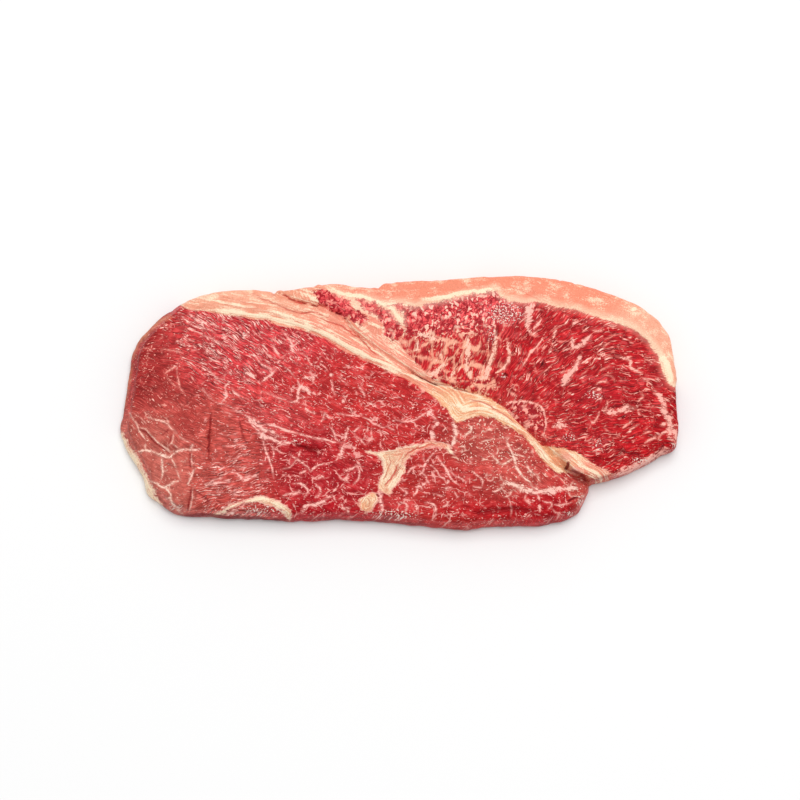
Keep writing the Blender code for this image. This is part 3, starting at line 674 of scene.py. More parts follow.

# Places crusted with pale crystals, and places with a painted glint or sheen that stands in for a highlight:
# place, reach and strength.
GLINT_AND_CRYSTAL_PLACES = (
    ((263, 511), (22, 6), 0.7),
    ((394, 515), (20, 5), 1.0),
    ((505, 313), (17, 10), 0.9),
    ((641, 460), (9, 3.5), 0.9),
    ((673, 445), (3, 2.5), 0.9),
    ((594, 395), (9, 4), 0.7),
    ((569, 437), (8, 5), 0.5),
    ((598, 446), (6, 8), 0.55),
    ((580, 500), (4, 6), 0.9),
    ((568, 513.5), (6, 2.5), 0.8),
    ((504, 376), (4, 3), 0.8),
    ((492, 335), (7, 10), 0.45),
    ((244, 335), (4, 3), 0.5),
    ((296, 441), (14, 3), 0.5),
    ((176, 508), (9, 5), 0.45),
)


def curve_through(points, spacing, closed=False, knots_at=None):
    """Even samples of a smooth curve through points: on each span a cubic whose end slopes
    are those of the parabola through three neighbours. With knots_at, also the travel to each
    of those knots."""
    knots = np.array(points, float)
    if closed:
        knots = np.concatenate([knots[-1:], knots, knots[:2]])
    else:
        knots = np.concatenate([2 * knots[:1] - knots[1:2], knots, 2 * knots[-1:] - knots[-2:-1]])
    steps = np.diff(knots, axis=0)
    lengths = np.linalg.norm(steps, axis=1)[:, None]
    slopes = steps / lengths
    tangents = (slopes[:-1] * lengths[1:] + slopes[1:] * lengths[:-1]) / (lengths[:-1] + lengths[1:])
    start, end, length = knots[1:-2, None], knots[2:-1, None], lengths[1:-1, None]
    share = np.linspace(0, 1, STEPS_PER_SPAN, endpoint=False)[None, :, None]
    dense = (
        start * (2 * share**3 - 3 * share**2 + 1)
        + end * (3 * share**2 - 2 * share**3)
        + tangents[:-1, None] * length * (share**3 - 2 * share**2 + share)
        + tangents[1:, None] * length * (share**3 - share**2)
    ).reshape(-1, 2)
    dense = np.concatenate([dense, knots[-2:-1]])
    travel = np.concatenate([[0], np.cumsum(np.linalg.norm(np.diff(dense, axis=0), axis=1))])
    count = max(2, round(travel[-1] / spacing))
    at = np.linspace(0, travel[-1], count + 1)
    samples = np.stack([np.interp(at, travel, dense[:, axis]) for axis in (0, 1)], axis=1)
    samples = samples[:-1] if closed else samples
    if knots_at is None:
        return samples
    return samples, [travel[knot * STEPS_PER_SPAN] for knot in knots_at], travel[-1]


def distance_to_line(at, line):
    """Each point's distance to a line of points, and the share of the line passed there: over
    the line's segments, the nearest of the distances to the foot of each perpendicular."""
    nearest = np.full(len(at), np.inf)
    along = np.zeros(len(at))
    passed = 0.0
    for start, end in zip(line[:-1], line[1:]):
        step = end - start
        length = max(np.linalg.norm(step), 1e-9)
        share = np.clip((at - start) @ step / length**2, 0, 1)
        gap = np.hypot(*(at - start - share[:, None] * step).T)
        closer = gap < nearest
        nearest[closer] = gap[closer]
        along[closer] = passed + share[closer] * length
        passed += length
    return nearest, along / passed


def near_line(at, line, reach):
    """Which points lie within reach of the line's box, by index."""
    return np.where(((at > line.min(axis=0) - reach) & (at < line.max(axis=0) + reach)).all(axis=1))[0]


def inside(at, corners):
    """Whether each point is inside a closed polygon, by counting the edges to its right."""
    count = np.zeros(len(at), int)
    for first, second in zip(corners, np.roll(corners, -1, axis=0)):
        if first[1] == second[1]:
            continue
        spans = (first[1] > at[:, 1]) != (second[1] > at[:, 1])
        crossing = first[0] + (at[:, 1] - first[1]) * (second[0] - first[0]) / (second[1] - first[1])
        count += spans & (at[:, 0] < crossing)
    return count % 2 == 1


def smooth_step(value):
    """Nought below nought, one above one, with a smooth step between."""
    value = np.clip(value, 0, 1)
    return value * value * (3 - 2 * value)


def random_heights(at, size, seed):
    """Smooth random heights from -1 to 1: a lattice of random values, size apart, blended by
    smooth steps between its four corners round each point."""
    wide, deep = LATTICE
    table = np.random.default_rng(seed).uniform(-1, 1, LATTICE)
    place = at / size
    cell = np.floor(place).astype(int)
    share = smooth_step(place - cell)
    i, j = cell[:, 0] % wide, cell[:, 1] % deep
    k, m = (i + 1) % wide, (j + 1) % deep
    low = table[i, j] * (1 - share[:, 0]) + table[k, j] * share[:, 0]
    high = table[i, m] * (1 - share[:, 0]) + table[k, m] * share[:, 0]
    return low * (1 - share[:, 1]) + high * share[:, 1]


def strayed(at):
    """Points moved by a little smooth noise, so that what is drawn at them wavers."""
    shift = np.zeros_like(at)
    for row, (size, reach) in enumerate(STRAYS):
        for axis in (0, 1):
            shift[:, axis] += reach * random_heights(at, size, STRAY_SEED + 2 * row + axis)
    return at + shift


def sight():
    """The camera's place in plan millimetres, and its back and up directions."""
    tilt = np.radians(ELEVATION)
    back = np.array([0, -np.cos(tilt), np.sin(tilt)])
    up = np.array([0, np.sin(tilt), np.cos(tilt)])
    return np.array(CAMERA_AIM) + back * CAMERA_DISTANCE, back, up


def on_top(points):
    """Where points of the picture lie on the steak, in plan: each line of sight from the
    camera, met with the level READ_HEIGHT above the floor."""
    eye, back, up = sight()
    picture = np.array(points, float).reshape(-1, 2) - PICTURE / 2
    ray = -back * (LENS / SENSOR * PICTURE) + picture[:, :1] * np.array([1, 0, 0]) - picture[:, 1:] * up
    reach = (READ_HEIGHT - eye[2]) / ray[:, 2]
    return eye[:2] + ray[:, :2] * reach[:, None]


def seen_at(points):
    """Where each point of the steak is seen, as the plan point of its line of sight at the
    level READ_HEIGHT."""
    eye, _, _ = sight()
    reach = (READ_HEIGHT - eye[2]) / (points[:, 2] - eye[2])
    return eye[:2] + (points[:, :2] - eye[:2]) * reach[:, None]


def picture_reach(radii):
    """A reach in pixels as one in millimetres, at the steak's distance."""
    return np.array(radii, float) * CAMERA_DISTANCE / (LENS / SENSOR * PICTURE)


def base_height(at):
    """The solid's height in millimetres at each point of the plan: a thickness, the bulges,
    the waves, and the relief along each line, which fades over its half width."""
    x, y = at[:, 0], at[:, 1]
    height = np.full(len(at), THICKNESS)
    for (cx, cy), (rx, ry), rise in BULGES:
        height += rise * np.exp(-(((x - cx) / rx) ** 2) - ((y - cy) / ry) ** 2)
    for length, turn, phase, rise in WAVES:
        run = x * np.cos(np.radians(turn)) + y * np.sin(np.radians(turn))
        height += rise * np.sin(run * 2 * np.pi / length + phase)
    for points, rises, half_width in RELIEF:
        line = curve_through(points, CAD_SPACING / 2)
        near = near_line(at, line, half_width)
        gap, share = distance_to_line(at[near], line)
        rise = np.interp(share, np.linspace(0, 1, len(rises)), rises)
        height[near] += rise * (1 - smooth_step(gap / half_width)) ** CREASE_SHARPNESS
    return height


def strokes(at, paths, half_widths, reach):
    """Over all paths, the largest of half width less distance at each point, and no lower than
    -reach, and the half width of that stroke. A stroke narrows to both its ends."""
    value, width = np.full(len(at), -float(reach)), np.zeros(len(at))
    order = np.argsort(at[:, 0])
    sorted_x = at[order, 0]
    for path, half_width in zip(paths, half_widths):
        margin = reach + half_width
        low, high = path.min(axis=0) - margin, path.max(axis=0) + margin
        first, last = np.searchsorted(sorted_x, [low[0], high[0]])
        near = order[first:last]
        near = near[(at[near, 1] > low[1]) & (at[near, 1] < high[1])]
        gap, share = distance_to_line(at[near], path)
        taper = half_width * (1 - (1 - VEIN_END) * (2 * share - 1) ** 4)
        width[near] = np.where(taper - gap > value[near], half_width, width[near])
        value[near] = np.maximum(value[near], taper - gap)
    return value, width


def soft_lines(at, lines, spread):
    """Over all lines, the largest strength at each point. It fades from half the half width to
    spread beyond all of it, and at both ends of the line. Each line is a half width, any values,
    the strength, and points."""
    value = np.zeros(len(at))
    for half_width, *_, strength, points in lines:
        line = curve_through(on_top(points), DRAWN_SPACING)
        near = near_line(at, line, spread + half_width)
        gap, share = distance_to_line(at[near], line)
        fade = 1 - smooth_step((gap - 0.5 * half_width) / (half_width * 0.5 + spread))
        value[near] = np.maximum(value[near], strength * fade * (1 - (2 * share - 1) ** 6))
    return value


def depth_inside(at, corners, reach):
    """How far inside a closed polygon each point is, negative outside, limited to reach."""
    loop = np.concatenate([corners, corners[:1]])
    value = np.full(len(at), -float(reach))
    near = near_line(at, loop, reach)
    gap, _ = distance_to_line(at[near], loop)
    value[near] = np.where(inside(at[near], corners), gap, -gap)
    return np.clip(value, -reach, reach)


def blended(at, places, values, least):
    """At each point, the values of the places, weighted by a bell curve of the distance and by
    no less than least."""
    total = np.full(len(at), 1e-9)
    result = np.zeros((len(at), np.shape(values)[1]))
    for (centre, reach), value in zip(places, values):
        away = (at - on_top(centre)) / picture_reach(reach)
        weight = np.exp(-(away**2).sum(axis=1)) + least
        total += weight
        result += weight[:, None] * np.array(value)
    return result / total[:, None]


def fibre_coordinates(at, fibres):
    """Two coordinates in millimetres, along and across the fibres: the plan, turned by their
    angle. That is the mean of the angles of the places given, weighted by a bell curve of the
    distance, with a little noise, and rounded to steps, so that the fibres lie in bundles."""
    total = np.full(len(at), 1e-6)
    angle = total * np.mean([rise for _, rise in fibres])
    for place, rise in fibres:
        weight = np.exp(-(((at - on_top(place)) / FIBRE_BLEND) ** 2).sum(axis=1) / 2)
        total += weight
        angle += weight * rise
    angle = angle / total + BUNDLE_WAVER * random_heights(at, BUNDLE_SIZE, BUNDLE_SEED)
    turn = np.radians(FIBRE_STEP * np.round(angle / FIBRE_STEP))
    along = at[:, 0] * np.cos(turn) + at[:, 1] * np.sin(turn)
    across = at[:, 1] * np.cos(turn) - at[:, 0] * np.sin(turn)
    return along, across


def albedo(colour):
    """The surface's own colour for one seen in the picture, out of 255: its linear light, less
    the haze of reflections, divided by the light that falls on it."""
    value = np.array(colour, float) / 255
    seen = np.where(value <= 0.04045, value / 12.92, ((value + 0.055) / 1.055) ** 2.4)
    return np.clip((seen - HAZE) / LIGHT_LEVEL, LEAST_ALBEDO, 1)


class Boundary:
    """The steak's outline and its groove, with the inward direction at each place."""

    def __init__(self):
        knots = (NOTCH, BACK_LEFT, FRONT_LEFT, FRONT_RIGHT, GAP, END_FRONT, END_BACK)
        self.points, travel, self.length = curve_through(OUTLINE, OUTLINE_SPACING, True, knots)
        self.travel = dict(zip(knots, travel))
        self.spacing = self.length / len(self.points)
        window = round(NORMAL_WINDOW / self.spacing)
        tangent = np.roll(self.points, -window, axis=0) - np.roll(self.points, window, axis=0)
        tangent /= np.linalg.norm(tangent, axis=1)[:, None]
        self.normals = np.stack([-tangent[:, 1], tangent[:, 0]], axis=1)
        self.groove = curve_through(GROOVE, OUTLINE_SPACING)
        coarse = curve_through(OUTLINE, CAD_SPACING, True)
        self.middle = (coarse.min(axis=0) + coarse.max(axis=0)) / 2

    def outline(self, start, end, count):
        """Stations at even steps of the outline's travel from start to end: place, inward
        direction and a roundness of one. The place is moved by the swell, the waver and the
        dents of the edge."""
        at = np.linspace(start, end, count + 1) / self.spacing
        low = np.floor(at).astype(int)
        share = (at - low)[:, None]
        size = len(self.points)
        place = self.points[low % size] * (1 - share) + self.points[(low + 1) % size] * share
        normal = self.normals[low % size] * (1 - share) + self.normals[(low + 1) % size] * share
        inward = -np.clip(-normal, 0, 1) @ SWELL
        for row, (size, reach) in enumerate(EDGE_WAVER):
            inward += reach * random_heights(place, size, EDGE_SEED + row)
        for centre, reach, depth in DENTS:
            away = np.linalg.norm(place - on_top(centre), axis=1)
            inward += depth * np.exp(-((away / reach) ** 2))
        return np.column_stack([place + normal * inward[:, None], normal, np.ones(count + 1)])

    def along_groove(self, count):
        """Stations at even steps of the groove. At its ends they lean in as the outline does
        there, so that both pieces share one line, and further on they stand upright."""
        share = np.linspace(0, 1, count + 1)
        travel = np.linspace(0, 1, len(self.groove))
        place = np.stack([np.interp(share, travel, self.groove[:, axis]) for axis in (0, 1)], axis=1)
        length = len(self.groove) * self.spacing
        first = 1 - smooth_step(share * length / CORNER_FADE)
        last = 1 - smooth_step((1 - share) * length / CORNER_FADE)
        notch, gap = [self.outline(at, at, 1)[0, 2:4] for at in (0, self.travel[GAP])]
        normal = first[:, None] * notch + last[:, None] * gap
        return np.column_stack([place, normal, first + last])

    def groove_cells(self, total, other):
        """How many of a side's cells lie along the groove, beside another stretch of the side."""
        length = len(self.groove) * self.spacing
        return round(total * length / (length + other))


def lower_sides(boundary):
    """The lower muscle's front, right, back and left sides, each as stations."""
    cells_u, cells_v = LOWER_CELLS
    travel = boundary.travel
    front = boundary.outline(travel[FRONT_LEFT], travel[FRONT_RIGHT], cells_u)
    right = boundary.outline(travel[FRONT_RIGHT], travel[GAP], cells_v)
    on_groove = boundary.groove_cells(cells_u, travel[BACK_LEFT])
    rim = boundary.outline(travel[BACK_LEFT], 0, cells_u - on_groove)
    back = np.concatenate([rim[:-1], boundary.along_groove(on_groove)])
    left = boundary.outline(travel[FRONT_LEFT], travel[BACK_LEFT], cells_v)
    return front, right, back, left


def upper_sides(boundary):
    """The upper muscle's front, right, back and left sides, each as stations."""
    cells_u, cells_v = UPPER_CELLS
    travel, tip = boundary.travel, boundary.length - TIP_LENGTH
    on_groove = boundary.groove_cells(cells_u, travel[END_FRONT] - travel[GAP])
    rim = boundary.outline(travel[GAP], travel[END_FRONT], cells_u - on_groove)
    front = np.concatenate([boundary.along_groove(on_groove), rim[1:]])
    right = boundary.outline(travel[END_FRONT], travel[END_BACK], cells_v)
    back = boundary.outline(tip, travel[END_BACK], cells_u)
    left = boundary.outline(boundary.length, tip, cells_v)
    return front, right, back, left


def patch(front, right, back, left):
    """A grid between four sides: the blend of front and back, plus the blend of left and right,
    less the blend of the four corners."""
    u = np.linspace(0, 1, len(front))[:, None, None]
    v = np.linspace(0, 1, len(left))[None, :, None]
    across = (1 - v) * front[:, None] + v * back[:, None]
    along = (1 - u) * left[None] + u * right[None]
    corners = (1 - v) * ((1 - u) * front[0] + u * front[-1]) + v * ((1 - u) * back[0] + u * back[-1])
    return across + along - corners


def loop_of(front, right, back, left):
    """The four sides as one anticlockwise loop, each corner once."""
    return np.concatenate([front[:-1], right[:-1], back[:0:-1], left[:0:-1]])


def split_loop(loop, cells_u, cells_v):
    """The four sides of an anticlockwise loop."""
    closed = np.concatenate([loop, loop[:1]])
    front, right = closed[: cells_u + 1], closed[cells_u : cells_u + cells_v + 1]
    back = closed[cells_u + cells_v : 2 * cells_u + cells_v + 1][::-1]
    left = closed[2 * cells_u + cells_v :][::-1]
    return front, right, back, left


def wall_rings(loop):
    """The wall's rings from foot to rim: a quarter round at the foot, a side that leans in, and
    a quarter round at the top, with small lumps. Where the roundness is nought, along the
    groove, the wall is upright."""
    place, normal, roundness = loop[:, :2], loop[:, 2:4], loop[:, 4]
    left = smooth_step((LEFT_FROM - place[:, 0]) / LEFT_REACH)
    front = smooth_step((FRONT_FROM - place[:, 1]) / FRONT_REACH)
    slope = SMALLEST_INSET + LEFT_SLOPE * left + FRONT_SLOPE * front * (1 - left)
    drop = TOP_ROUND * roundness + GROOVE_LIP * (1 - roundness)
    rows = [("foot", np.radians(angle)) for angle in FOOT_ANGLES]
    rows += [("side", share) for share in SIDE_SHARES]
    rows += [("top", np.radians(angle)) for angle in TOP_ANGLES]
    rings = []
    for row, (part, amount) in enumerate(rows):
        if part == "foot":
            inset = np.full(len(loop), FOOT_ROUND * (1 - np.sin(amount)))
        elif part == "side":
            inset = slope * max(0, (amount - SLOPE_START) / (1 - SLOPE_START)) ** SLOPE_POWER
            inset = inset + SIDE_LUMPS * random_heights(place + RING_SHIFT * row, SIDE_LUMP_SIZE, LUMP_SEED)
        else:
            inset = slope + TOP_ROUND * (1 - np.cos(amount))
        plan = place + normal * inset[:, None]
        full = top_height(plan)
        if part == "foot":
            height = np.full(len(loop), FOOT_ROUND * (1 - np.cos(amount)))
        elif part == "side":
            height = FOOT_ROUND + amount * (full - drop - FOOT_ROUND)
        else:
            height = full - drop * (1 - np.sin(amount))
        rings.append(np.column_stack([plan, height]))
    return rings


def top_height(at):
    """The finished top: the solid's height with cream ridges and lines between layers, less a
    soft shoulder towards the outline and less each crease's depth."""
    height = base_height(at)
    drawn = strayed(seen_at(np.column_stack([at, height])))
    height += CREAM_RISE * soft_lines(drawn, CREAM, CREAM_SPREAD)
    height -= LINE_DEPTH * soft_lines(drawn, LAYER_LINES, LINE_SPREAD)
    rim = curve_through(OUTLINE, CAD_SPACING, closed=True)
    gap, _ = distance_to_line(at, np.concatenate([rim, rim[:1]]))
    height -= SHOULDER_FALL * (1 - smooth_step(gap / SHOULDER_REACH)) ** 2
    for half_width, depth, _, points in CREASES:
        line = curve_through(on_top(points), DRAWN_SPACING)
        slope = CREASE_WIDTHS * half_width
        near = near_line(drawn, line, slope)
        gap, share = distance_to_line(drawn[near], line)
        height[near] -= depth * (1 - smooth_step(gap / slope)) * (1 - (2 * share - 1) ** 4)
    return height


def grid_faces(numbers):
    """The quads of a grid of vertex numbers, facing up where its first axis runs along +X."""
    quads = [numbers[:-1, :-1], numbers[1:, :-1], numbers[1:, 1:], numbers[:-1, 1:]]
    return np.stack(quads, axis=-1).reshape(-1, 4)


def lobe_shape(sides, cells):
    """A closed muscle: the top's grid, the wall's rings, a fan from the lowest ring to the
    underside's coarse loop, and the underside's coarse grid."""
    cells_u, cells_v = cells
    loop = loop_of(*sides)
    rings = wall_rings(loop)
    top = patch(*split_loop(rings[-1][:, :2], cells_u, cells_v))
    top_flat = top.reshape(-1, 2)
    points = [np.column_stack([top_flat, top_height(top_flat)])]
    numbers = np.arange(len(top_flat)).reshape(cells_u + 1, cells_v + 1)
    rim = loop_of(numbers[:, 0], numbers[-1], numbers[:, -1], numbers[0])
    faces = [grid_faces(numbers)]
    count = len(top_flat)

    ring_numbers = []
    for ring in rings[:-1]:
        points.append(ring)
        ring_numbers.append(count + np.arange(len(ring)))
        count += len(ring)
    ring_numbers.append(rim)
    for lower, upper in zip(ring_numbers[:-1], ring_numbers[1:]):
        faces.append(np.stack([lower, np.roll(lower, -1), np.roll(upper, -1), upper], axis=1))

    foot = rings[0][::COARSE, :2] + loop[::COARSE, 2:4] * UNDER_INSET
    under = patch(*split_loop(foot, cells_u // COARSE, cells_v // COARSE))
    under_flat = under.reshape(-1, 2)
    points.append(np.column_stack([under_flat, np.zeros(len(under_flat))]))
    under_numbers = count + np.arange(len(under_flat)).reshape(under.shape[:2])
    faces.append(grid_faces(under_numbers)[:, ::-1])
    inner = loop_of(under_numbers[:, 0], under_numbers[-1], under_numbers[:, -1], under_numbers[0])
    outer = ring_numbers[0].reshape(-1, COARSE)
    last = np.roll(outer[:, 0], -1)[:, None]
    outer = np.concatenate([outer, last], axis=1)
    following = np.roll(inner, -1)
    half = COARSE // 2 + 1
    triangles = []
    for step in range(COARSE):
        apex = inner if step < half else following
        triangles.append(np.stack([outer[:, step + 1], outer[:, step], apex], axis=1))
    triangles.append(np.stack([outer[:, half], inner, following], axis=1))
    return np.concatenate(points), np.concatenate(faces), np.concatenate(triangles), count


def deepest(at, areas, reach):
    """How far inside the nearest of some areas of the picture each point is, negative outside
    them all, limited to reach."""
    return np.max([depth_inside(at, on_top(area), reach) for area in areas], axis=0)


def fat_depth(at, lower):
    """How deep in fat each point is, in millimetres and negative in lean."""
    depth = deepest(at, OUTER_FAT_BELOW if lower else OUTER_FAT_ABOVE, DEPTH_REACH)
    if not lower:
        depth = np.minimum(depth, -deepest(at, COARSE_LEAN, DEPTH_REACH))
    return np.maximum(depth, deepest(at, INNER_FAT, DEPTH_REACH))


def layer_coordinates(at, guide):
    """The travel along a guide line and the distance from it, in millimetres."""
    line = curve_through(guide, GUIDE_SPACING)
    gap, share = distance_to_line(at, line)
    return share * (len(line) - 1) * GUIDE_SPACING, gap


def fat_layers(at, lower):
    """Travel along the layers of fat, the distance across them, and how layered the fat is. The
    guide is the seam's edge, or for the upper muscle the nearer of the groove and the cap's edge."""
    if lower:
        return (*layer_coordinates(at, SEAM_EDGE), np.ones(len(at)))
    along, across = layer_coordinates(at, GROOVE)
    along_cap, across_cap = layer_coordinates(at, CAP_EDGE)
    nearer = across_cap < across
    along = np.where(nearer, along_cap + CAP_TRAVEL, along)
    return along, np.where(nearer, across_cap, across), np.where(nearer, CAP_LAYERS, 1.0)


def muscle_fields(at):
    """At each point the lean's colour and its marks' colour, its shares of streaks, flecks,
    specks and net, and its coarse grain and lobules."""
    columns = (
        [albedo(row[2]) for row in MUSCLE],
        [albedo(row[3]) for row in MUSCLE],
        [row[4] for row in MUSCLE],
        [row[5:] or (0, 0) for row in MUSCLE],
    )
    places = [row[:2] for row in MUSCLE]
    return [blended(at, places, values, LEAST_MUSCLE) for values in columns]


def painted_glints_and_crystals(at):
    """How strongly each point has pale crystals or a painted glint: the largest of the places' bell curves.
    """
    glint_and_crystal = np.zeros(len(at))
    for centre, reach, strength in GLINT_AND_CRYSTAL_PLACES:
        away = (at - on_top(centre)) / picture_reach(reach)
        glint_and_crystal = np.maximum(glint_and_crystal, strength * np.exp(-(away**2).sum(axis=1)))
    return glint_and_crystal


def lobe_fields(points, lower, under_from):
    """What the material reads at each point of a muscle: vectors and colours by attribute name.
    From under_from on, the points are the underside's, which has no veins."""
    at, height = seen_at(points), points[:, 2]
    below = np.maximum(top_height(points[:, :2]) - height, 0)
    drawn = strayed(at)
    slipped = at + below[:, None] * WALL_SLIP
    # Painted light: the wall's lean and fat are made paler down from the top, for the light that the wall
    # doesn't get.
    painted_wall_light = 1 + WALL_PAINTED_LIGHT * smooth_step(below / WALL_PAINTED_LIGHT_DEPTH)[:, None]
    lean, mark, shares, coarse = muscle_fields(at)
    grain, lobed = coarse.T
    fat = blended(at, [row[:2] for row in FAT], [albedo(row[2]) for row in FAT], LEAST_FAT)
    along, across, layered = fat_layers(at, lower)
    flow_along, flow_across = fibre_coordinates(slipped, LOWER_FIBRES if lower else UPPER_FIBRES)
    if lower:
        grain = np.zeros(len(at))
    else:
        flow_along, flow_across = flow_along / UPPER_COARSENESS[0], flow_across / UPPER_COARSENESS[1]
        grain = np.maximum(grain, smooth_step(deepest(at, COARSE_LEAN, EDGE_REACH) / GRAIN_FADE + 1))

    paths = [curve_through(on_top(path), DRAWN_SPACING) for group in VEINS.values() for path in group]
    half_widths = [half_width for half_width, group in VEINS.items() for _ in group]
    veins, vein_width = strokes(drawn, paths, half_widths, VEIN_REACH)
    side = smooth_step((below - SIDE_FROM) / SIDE_REACH)
    veins[under_from:] = -VEIN_REACH
    side[under_from:] = 0
    cream = soft_lines(drawn, CREAM, CREAM_SPREAD)
    layer_line = soft_lines(drawn, LAYER_LINES, LINE_SPREAD)
    # Painted shade: how dark each crease is painted, where shade would fall in it.
    crease_shade = soft_lines(drawn, CREASE_PAINTED_SHADES, CREASE_SPREAD)
    tanned = soft_lines(drawn, TANNED, TAN_SPREAD)
    mottled = smooth_step(deepest(at, (WEDGE, LOWER_NODE), EDGE_REACH) / FRECKLE_FADE)
    ragged = smooth_step(deepest(at, INNER_FAT, EDGE_REACH) / RAGGED_FADE + 1)
    vectors = {
        "flow": (flow_along, flow_across, height),
        "plan": (*slipped.T, height),
        "layers": (along, across, height),
        "marbling": shares.T[:3],
        "texture": (shares[:, 3], grain, painted_glints_and_crystals(at)),
        "lines": (veins, cream, layer_line),
        "touch": (fat_depth(drawn, lower), crease_shade, tanned),
        "wall": (side, mottled, layered),
        "ragged": (vein_width, ragged, lobed),
    }
    vectors = {key: np.column_stack([*values]) for key, values in vectors.items()}
    return vectors, {"lean": painted_wall_light * lean, "mark": mark, "fat": painted_wall_light * fat}


class Socket:
    """One output of a material's node. Its sums, differences and products with numbers or with
    other outputs add Math nodes, and so do abs() and the sign |, the larger of two."""

    def __init__(self, nodes, output):
        self.nodes, self.output = nodes, output

    def math(self, operation, first, second):
        """A Math node of two values."""
        return self.nodes.add("ShaderNodeMath", {"operation": operation}, {0: first, 1: second})

    def __add__(self, other):
        return self.math("ADD", self, other)

    __radd__ = __add__

    def __sub__(self, other):
        return self.math("SUBTRACT", self, other)

    def __rsub__(self, other):
        return self.math("SUBTRACT", other, self)

    def __mul__(self, other):
        return self.math("MULTIPLY", self, other)

    __rmul__ = __mul__

    def __abs__(self):
        return self.nodes.add("ShaderNodeMath", {"operation": "ABSOLUTE"}, {0: self})

    def __or__(self, other):
        return self.math("MAXIMUM", self, other)


class Nodes:
    """The nodes of one material, each added by one method."""

    def __init__(self, material):
        self.tree = material.node_tree

    def add(self, kind, settings=None, inputs=None, output=0):
        """A node of a kind, with its settings made first and then its sockets filled."""
        node = self.tree.nodes.new(kind)
        for name, value in (settings or {}).items():
            setattr(node, name, value)
        for key, value in (inputs or {}).items():
            if isinstance(value, Socket):
                self.tree.links.new(value.output, node.inputs[key])
            else:
                node.inputs[key].default_value = value
        return Socket(self, node.outputs[output])

    def attribute(self, name, output):
        """What the mesh carries under a name: a colour as output 0, a vector as output 1."""
        return self.add("ShaderNodeAttribute", {"attribute_name": name}, output=output)

    def parts(self, vector):
        """The three numbers of a vector."""
        first = self.add("ShaderNodeSeparateXYZ", inputs={0: vector})
        outputs = first.output.node.outputs
        return [Socket(self, output) for output in outputs]

    def scaled(self, vector, sizes):
        """A vector divided by a size in millimetres on each axis."""
        factors = tuple(1 / size for size in sizes)
        return self.add("ShaderNodeVectorMath", {"operation": "MULTIPLY"}, {0: vector, 1: factors})

    def moved(self, vector, other):
        """The sum of two vectors."""
        return self.add("ShaderNodeVectorMath", {"operation": "ADD"}, {0: vector, 1: other})

    def texture(self, vector, sizes, detail, roughness=0.5, output="Fac"):
        """Noise round a half. Its lumps have these two or three sizes in millimetres."""
        settings = {"noise_dimensions": f"{len(sizes)}D"}
        scaled = self.scaled(vector, (*sizes, 1)[:3])
        inputs = {"Vector": scaled, "Scale": 1.0, "Detail": detail, "Roughness": roughness}
        return self.add("ShaderNodeTexNoise", settings, inputs, output)

    def noise(self, vector, sizes, detail, roughness=0.5):
        """The same noise round nought."""
        return self.texture(vector, sizes, detail, roughness) - 0.5

    def cells(self, vector, sizes, feature="F1", output="Distance"):
        """Cells of these two sizes in millimetres, and the distance to their middle or edge."""
        settings = {"feature": feature, "voronoi_dimensions": "2D"}
        inputs = {"Vector": self.scaled(vector, (*sizes, 1)), "Scale": 1.0}
        return self.add("ShaderNodeTexVoronoi", settings, inputs, output)

    def bent(self, vector, waves):
        """A vector moved by noise, wave after wave, for lines that wave."""
        for size, reach in waves:
            wave = self.moved(self.texture(vector, (size, size), 1, output="Color"), (-0.5, -0.5, -0.5))
            wave = self.add("ShaderNodeVectorMath", {"operation": "SCALE"}, {0: wave, "Scale": reach})
            vector = self.moved(vector, wave)
        return vector

    def step(self, value, low, high):
        """Nought below low, one above high, with a smooth step between. Low may be the greater."""
        inputs = {"Value": value, "From Min": low, "From Max": high}
        return self.add("ShaderNodeMapRange", {"interpolation_type": "SMOOTHSTEP"}, inputs)

    def range(self, value, low, high, new_low, new_high):
        """A value brought from one range to another, and held inside it."""
        inputs = {"Value": value, "From Min": low, "From Max": high, "To Min": new_low, "To Max": new_high}
        return self.add("ShaderNodeMapRange", inputs=inputs)

    def mix(self, factor, first, second, blend="MIX"):
        """The first colour, turned into the second by a factor."""
        settings = {"data_type": "RGBA", "blend_type": blend}
        return self.add("ShaderNodeMix", settings, {0: factor, 6: first, 7: second}, 2)

    def grey(self, value):
        """A number as a colour of three equal parts."""
        return self.add("ShaderNodeCombineColor", inputs={0: value, 1: value, 2: value})


# The patterns of the meat, by the size of their lumps in millimetres: along and across the
# fibres or the plan, and for some also down.
FIBRES = (6.0, 0.42, 2.5)
STREAKS, FLECKS, SPECKS = (5.5, 0.6, 3.0), (3.4, 0.55, 2.0), (0.9, 0.75, 1.0)
BROAD_PATCHES, CLUMPS, PATCHES = (14, 10), (8.0, 6.0), (4.5, 3.2, 3.5)
MOTTLES, SPECKLES, GATES = (2.6, 2.2, 2.4), (0.6, 0.6, 0.8), (5.5, 4.0)
WIDE_NET, CLOSE_NET, LOBULES = (8.5, 6.4), (4.6, 3.6), (8.5, 4.4)
BEADS, CURLS = (2.7, 3.3), (2.6, 3.2)
CONTOURS, FAT_LAYERS, FRECKLES, CRYSTALS = (6, 6, 0.5), (20, 1.1), (0.6, 0.55), (1.0, 0.8)

# How the patterns' coordinates are bent: the size of each wave and how far it moves them.
FIBRE_WAVES = ((9, 3.0), (2.8, 0.45))
PLAN_WAVES = ((8, 5), (2.0, 1.1))
CURL_WAVES = ((1.7, 2.2),)

# How much the mesh's share of each mark adds to its noise, and the level that the sum passes.
STREAK_SHARE, STREAK_LEVEL = 0.30, 0.34
FLECK_SHARE, FLECK_LEVEL = 0.16, 0.28
SPECK_SHARE, SPECK_LEVEL = 0.14, 0.315
NET_SHARE, NET_LEVEL = 0.075, 0.045
CLOSE_NET_SHARE, CLOSE_NET_LEVEL = 0.12, 0.15
LOBULE_SHARE, LOBULE_LEVEL = 0.26, 0.12
CRYSTAL_SHARE, CRYSTAL_LEVEL = 0.10, 0.16

